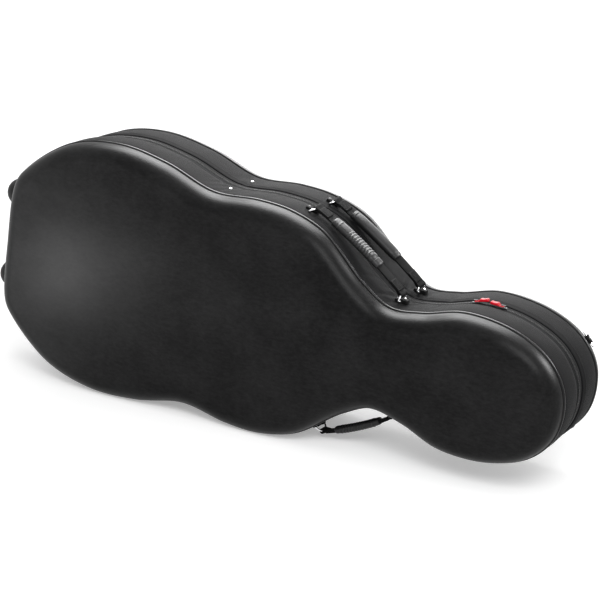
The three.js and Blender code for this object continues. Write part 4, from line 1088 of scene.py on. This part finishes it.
def grip_rows(seat, half_span, rise, shift, profile):
    """Rows round the arch; the profile gives, for each x, its girth share."""
    wide, high = (np.sign(v) * np.abs(v) ** GRIP_ROUNDNESS for v in circle(1, GRIP_SIDES).T)
    rows = []
    for x, girth in profile:
        y = girth * GRIP_WIDTH / 2 * wide
        z = arch(x + shift, half_span, rise) + girth * GRIP_HEIGHT / 2 * high
        rows.append(np.stack([np.full(GRIP_SIDES, x + shift), y, z], axis=1))
    return seat.place(np.array(rows))


def rounded_end(end, reach, least):
    """How far a grip is drawn in at a distance from its end: from the least share to full at reach."""
    return least + (1 - least) * sqrt(max(0.0, 1 - max(0.0, 1 - end / reach) ** 2))


def ribbed_profile(length, ribs=9, pitch=6.8, first=0.31):
    """Tail end, raised ridge, finger ribs, a plain length, a notch and a collar."""
    half = length / 2
    start = -half + first * length
    stop = start + ribs * pitch
    samples = []
    for x in np.arange(-half, half + 0.01, 0.55):
        if x < start:
            share = (x + half) / (start + half)
            girth = 0.86 + 0.13 * sin(min(share * 1.3, 1) * pi / 2)
            girth += 0.07 * exp(-((x + half - 15) / 1.6) ** 2)
        elif x < stop:
            phase = ((x - start) / pitch) % 1
            girth = 0.885 + 0.125 * max(0.0, sin(pi * phase)) ** 0.6
        elif x < half - 17:
            share = (x - stop) / (half - 17 - stop)
            girth = 0.93 + 0.07 * sin(share * pi)
        elif x < half - 14:
            girth = 0.86
        else:
            girth = 0.95 - 0.06 * (x - half + 14) / 14
        samples.append((x, girth * rounded_end(min(x + half, half - x), 3, 0.84)))
    return samples


def sleeve_profile(length):
    """A plain padded sleeve, drawn in and bound at both ends."""
    half = length / 2
    samples = []
    for x in np.arange(-half, half + 0.01, 0.8):
        share = abs(x) / half
        girth = 0.86 + 0.15 * (1 - share**5)
        girth += 0.03 * exp(-((abs(x) - half + 6) / 1.2) ** 2)
        girth -= 0.03 * exp(-((abs(x) - half + 9) / 1.2) ** 2)
        samples.append((x, girth * rounded_end(half - abs(x), 2.4, 0.86)))
    return samples


def handle(name, half, side, shares, rise, lean, shift, profile, finish):
    """A carrying handle between two rings at shares of the case's length, leaning by some degrees."""
    depth = FITTING_DEPTH[half]
    ends = [flank_frame(share, side) for share in shares]
    bars = [place + out * TAB_HEIGHT / 2 for place, _, out in ends]
    chord = bars[1] - bars[0]
    middle = bars[0] + chord / 2
    middle[1] = SIDE[half] * depth
    along = unit(chord) * side
    out = np.cross(along, [0, 1, 0])
    half_span = np.linalg.norm(chord) / 2
    upright, swung = Seat(middle, along, out), Seat(middle, along, out, lean)
    for end, k, share in (("tail", -1, shares[0]), ("neck", 1, shares[1])):
        d_ring(f"{name}_{end}_ring", upright, RING_RADIUS, RING_WIRE, half,
               shift=(side * k * half_span, 0, 0), tilt=-side * k * RING_TILT)
        ring_tab(f"{name}_{end}_tab", on_flank(share, side, half, depth), TAB_LENGTH, TAB_WIDTH, TAB_HEIGHT,
                 RING_WIRE, half)
    handle_webbing(f"{name}_webbing", swung, half_span, rise, name)
    rows = grip_rows(swung, half_span, rise, shift, profile)
    skin(f"{name}_grip_moulding", rows, finish, name, "grip", replaces=[f"{name}_grip"])


handle("lid_handle", "lid", 1, ZIP_SIDE_RINGS, 10.0, 20.0, -13.0, ribbed_profile(128.0), GRIP)
handle("base_handle", "base", 1, ZIP_SIDE_RINGS, 10.0, 30.0, -13.0, sleeve_profile(128.0), SLEEVE)
handle("hinge_side_handle", "lid", -1, HINGE_SIDE_RINGS, 6.0, 0.0, 0.0, ribbed_profile(104.0), GRIP)

for each in ("lid", "base"):
    seat = on_flank(WAIST_RIVET_SHARE, 1, each, FITTING_DEPTH[each])
    rivet(f"{each}_waist_rivet_head", seat, (0, 0, 1.0), 3.3, 2.2, CHROME, "chrome", each,
          replaces=[f"{each}_waist_rivet"])


# ---------------- feet

FOOT_RADIUS, FOOT_HEIGHT, FOOT_BASE, FOOT_ROOT = 32.0, 43.0, 8.0, 7.0
FOOT_LEVEL = {"upper": 93.0, "lower": -93.0}
FOOT_DEPTH = {"lid": 48.5, "base": 56.0}


def foot(node, half, height):
    """A rubber foot: a base disc, a groove and a full dome with a small flat at its tip."""
    widest = FOOT_RADIUS - 0.2
    profile = [(-3.0, widest - 0.8), (-1.0, widest), (1 - FOOT_BASE, widest)]
    profile += [(-FOOT_BASE - x, widest - r) for x, r in ((-0.3, 0.5), (0.5, 1.5), (1.2, 1.6), (1.9, 0.9))]
    rise = FOOT_HEIGHT - FOOT_BASE - 2.2
    for angle in np.linspace(0.06, pi / 2 - 0.12, 20):
        profile.append((-FOOT_BASE - 1.9 - rise * sin(angle), (widest - 0.7) * cos(angle) ** 0.97))
    profile.append((0.2 - FOOT_HEIGHT, 0.4))
    rows = np.array([[(x, SIDE[half] * FOOT_DEPTH[half] + r * cos(a), height + r * sin(a))
                      for a in round_angles(48)] for x, r in profile])
    rows[:2, :, 0] += FOOT_ROOT
    skin(f"{node}_rubber", rows, FOOT, half, "foot_rubber", replaces=[node])


for level in FOOT_LEVEL:
    for each in FOOT_DEPTH:
        foot(f"{level}_{each}_foot", each, FOOT_LEVEL[level])

# ---------------- zip sliders and pulls

PULL_PIVOTS = {"tail": (0.813, 1, (435.07, -9.28, 339.71)), "head": (0.857, -1, (492.40, -9.28, 339.85))}


# Along a pull's handle: its start, where it begins to close, its end, and its thumb rest's middle.
HANDLE_START, HANDLE_CLOSES, HANDLE_END, THUMB_REST = 7.6, 24.2, 27.6, 18.5
HANDLE_UNDER = 0.85


def pull_handle(each):
    """The thick moulded handle of a pull, flat underneath, with a dished thumb rest and a rounded end."""
    share, facing, pivot = PULL_PIVOTS[each]
    _, along, out = flank_frame(share, 1)
    origin = (np.array(pivot) - CASE_ORIGIN) @ CASE_TURN
    seat = Seat(origin, facing * along, out)
    rows = []
    for x in np.linspace(HANDLE_START, HANDLE_END, 27):
        swell = min(1.0, (x - HANDLE_START) / 4.0) ** 0.6
        end = max(0.0, x - HANDLE_CLOSES) / (HANDLE_END - HANDLE_CLOSES)
        close = sqrt(max(0.03, 1 - end**2))
        width = (9.0 + 2.6 * swell) * (0.55 + 0.45 * close)
        dish = 0.9 * exp(-((x - THUMB_REST) / 4.5) ** 2)
        top = 0.6 + (4.6 * swell - dish) * close
        thick = top + HANDLE_UNDER
        rows.append(section_at(x, (top - HANDLE_UNDER) / 2, width, thick, min(1.7, thick / 2.1)))
    skin(f"{each}_pull_handle", seat.place(np.array(rows)), PULL, f"{each}_pull", "pull_red")


for each in ("tail", "head"):
    eased_copy(f"{each}_slider_body", f"{each}_slider", SLIDER, 0.55)
    eased_copy(f"{each}_pull_tag", f"{each}_pull", PULL, 0.5)
    pull_handle(each)

# ---------------- backpack straps

base_face = face_rows("base", 0, 14, 12)
face_corners = base_face.reshape(-1, 3)
face_quads, _, _ = skin_faces(*base_face.shape[:2], True, False)
base_tree = BVHTree.FromPolygons([Vector(p) for p in face_corners], face_quads.tolist())


def on_base(x, z):
    """The place and the outward side of the base's outer face at x and z."""
    hit, normal, _, _ = base_tree.ray_cast(Vector((x, 400, z)), Vector((0, -1, 0)))
    normal = np.array(normal) * (1 if normal[1] > 0 else -1)
    return np.array(hit), normal


def over_rim(share, side, degrees, lift=0.0):
    """A place over the rounded rim of the base, turned from the wall round to the face."""
    place, along, out = flank_frame(share, side)
    c, s = cos(radians(degrees)), sin(radians(degrees))
    radius = RIM_RADIUS + lift
    point = place - out * (SHELL_INSET + RIM_RADIUS - radius * c)
    point[1] = WALL_DEPTH["base"] + SEAM_STEP + radius * s
    facing = np.array([0, 1, 0])
    return point, out * c + facing * s, facing * c - out * s, along


STRAP_RING_SHARE, STRAP_RING_ANGLE = 0.9688, 22.0
PAD_WIDTH, PAD_THICKNESS = 58.0, 11.0
PAD_END_WIDTH, PAD_END_THICKNESS, PAD_SEAM = 26, 5, 0.86
CROWN_POWER = 2.6
STRAP_WEB_WIDTH, STRAP_WEB_THICKNESS = 25.0, 2.6
PAD_EDGE, PAD_OVERLAP = 0.42, 60
PAD_ENDS = (0.497, 0.838)
# The hook's run over the rim: degrees past the ring, and how far out from the rim.
HOOK_ROUTE = ((15.5, 6.202), (18.5, 11.41), (26, 11.41), (32, 7.98), (60, 3.99))
# Places that a strap runs over, as shares of the case's length and half width.
STRAP_ROUTE = ((0.92, 0.225), (0.845, 0.24), (0.83, 0.242), (0.7, 0.21), (0.66, 0.23), (0.5, 0.4),
               (0.49, 0.41), (0.13, 0.6))


def crown(share, edge):
    """How thick a band is at a share of its half width, from its edge's thickness to 1 at its middle."""
    return edge + (1 - edge) * (1 - abs(share) ** CROWN_POWER)


def laid_band(name, frames, width, thickness, finish, slot, edge, **options):
    """A band laid on the base along frames of (place, outward side), crowned across its width."""
    places = np.array([f[0] for f in frames])
    outs = unit(np.array([f[1] for f in frames]))
    across = unit(np.cross(unit(np.gradient(places, axis=0)), outs))
    width, thickness = (np.broadcast_to(v, len(frames)) for v in (width, thickness))
    shape = [(share, crown(share, edge)) for share in np.linspace(-1, 1, 15)]
    shape += [(share, 0.0) for share in (0.97, 0.5, -0.5, -0.97)]
    rows = np.array([[places[i] + across[i] * s * width[i] / 2 + outs[i] * (h * thickness[i] + 0.25)
                      for s, h in shape] for i in range(len(frames))])
    return skin(name, rows, finish, "base", slot, **options), places, outs, across


def strap_fixtures(name, side):
    """The strap's ring, its tab and its wire hook, over the rim at the head end."""
    place, normal, over, along = over_rim(STRAP_RING_SHARE, side, STRAP_RING_ANGLE)
    seat = Seat(place, over, normal)
    d_ring(f"{name}_ring", seat, 17.0, 2.0, "base", shift=(0, 0, 3.5), tilt=90.0)
    ring_tab(f"{name}_tab", seat, 20.0, 18.0, 7.0, 2.0, "base")
    path = smooth_path([over_rim(STRAP_RING_SHARE, side, STRAP_RING_ANGLE + turn, lift)[0]
                        for turn, lift in HOOK_ROUTE], 36)
    swell = np.where(np.arange(len(path)) < len(path) - 12, 1.0, 1.5)
    rows = path[:, None] + (swept(path, circle(1.9, 10), along) - path[:, None]) * swell[:, None, None]
    skin(f"{name}_hook_wire", rows, CHROME, "base", "chrome", replaces=[f"{name}_hook"])


def strap_pad(name, frames):
    """The padded length of a strap, full at its middle and narrow at its ends, sewn along both edges."""
    ends = np.minimum(np.arange(len(frames)), np.arange(len(frames))[::-1])
    spread = np.clip(ends / 12.0, 0, 1) ** 0.6
    width = PAD_END_WIDTH + (PAD_WIDTH - PAD_END_WIDTH) * spread
    thickness = PAD_END_THICKNESS + (PAD_THICKNESS - PAD_END_THICKNESS) * spread
    made, places, outs, across = laid_band(
        f"{name}_pad", frames, width, thickness, PADDING, "strap_padding", edge=PAD_EDGE, replaces=[name])
    sewn = []
    rise = thickness * crown(PAD_SEAM, PAD_EDGE) + 0.3
    for s in (-PAD_SEAM, PAD_SEAM):
        line = places + across * (s * width / 2)[:, None] + outs * rise[:, None]
        sewn.append((line[4:-4], outs[4:-4]))
    stitches(f"{name}_pad_stitching", sewn, "base", "strap_padding", size=(1.5, 0.5, 0.4))


def backpack_strap(name, side):
    strap_fixtures(name, side)
    rim = [over_rim(STRAP_RING_SHARE, side, STRAP_RING_ANGLE + turn, 0.3)[:2] for turn in (58, 66, 76)]
    route = [(rim[-1][0][0], rim[-1][0][2])]
    route += [(x * CASE_LENGTH, z * side * HALF_WIDTH) for x, z in STRAP_ROUTE]
    on_face = [on_base(x, z) for x, _, z in smooth_path([(x, 0, z) for x, z in route], 260)]
    pad_tail, pad_head = (share * CASE_LENGTH for share in PAD_ENDS)
    strap_pad(name, [f for f in on_face if pad_tail < f[0][0] < pad_head])
    lead = rim + [f for f in on_face if f[0][0] >= pad_head - PAD_OVERLAP]
    tail = [f for f in on_face if f[0][0] <= pad_tail + PAD_OVERLAP]
    for label, run in (("lead", lead), ("tail", tail)):
        places, outs = (np.array([f[k] for f in run]) for k in range(2))
        under = np.array([[PAD_THICKNESS if pad_tail < p[0] < pad_head else 0.0] for p in places])
        low = places + outs * under * 0.98
        eased = places + outs * (under + 0.2 * (under > 0))
        for _ in range(6):
            eased[1:-1] = (eased[:-2] + eased[1:-1] * 2 + eased[2:]) / 4
            sunk = np.minimum(((eased - low) * outs).sum(axis=1, keepdims=True), 0)
            eased -= outs * sunk
        laid_band(f"{name}_{label}_webbing", list(zip(eased, outs)), STRAP_WEB_WIDTH, STRAP_WEB_THICKNESS,
                  WEBBING, "webbing", edge=0.8)
    place, out = on_face[-1]
    seat = Seat(place, np.array([1.0, 0, 0]), out)
    patch = [section_at(x, 2.2, 36, 3.4, 1.2) for x in np.linspace(-16, 16, 5)]
    skin(f"{name}_anchor_patch", seat.place(patch), WEBBING, "base", "webbing")


for name, side in (("zip_side_strap", 1), ("hinge_side_strap", -1)):
    backpack_strap(name, side)

# ---------------- inside the base

for node in ("tail_block", "lower_body_pad", "upper_body_pad", "neck_cradle"):
    soft_copy(f"{node}_plush", node, FOAM, "base")
eased_copy("neck_strap_webbing", "neck_strap", WEBBING, 0.9)
eased_copy("accessory_box_tray", "accessory_box", BOX_PLASTIC, 1.1, body="base")
eased_copy("accessory_box_cover", "accessory_box_lid", BOX_PLASTIC, 1.2)

# ---------------- inside the lid

for node in ("bow_frog_rest", "bow_tip_rest"):
    soft_copy(f"{node}_plush", node, FOAM, "lid", voxel=4.0, ease=1.5, cap=2.0)
for each in ("zip_side", "hinge_side"):
    eased_copy(f"{each}_bow_catch", f"{each}_bow_toggle", BOX_PLASTIC, 1.0)
eased_copy("music_pocket_cloth", "music_pocket", POCKET, 1.2, body="lid")

fill_out(filled)
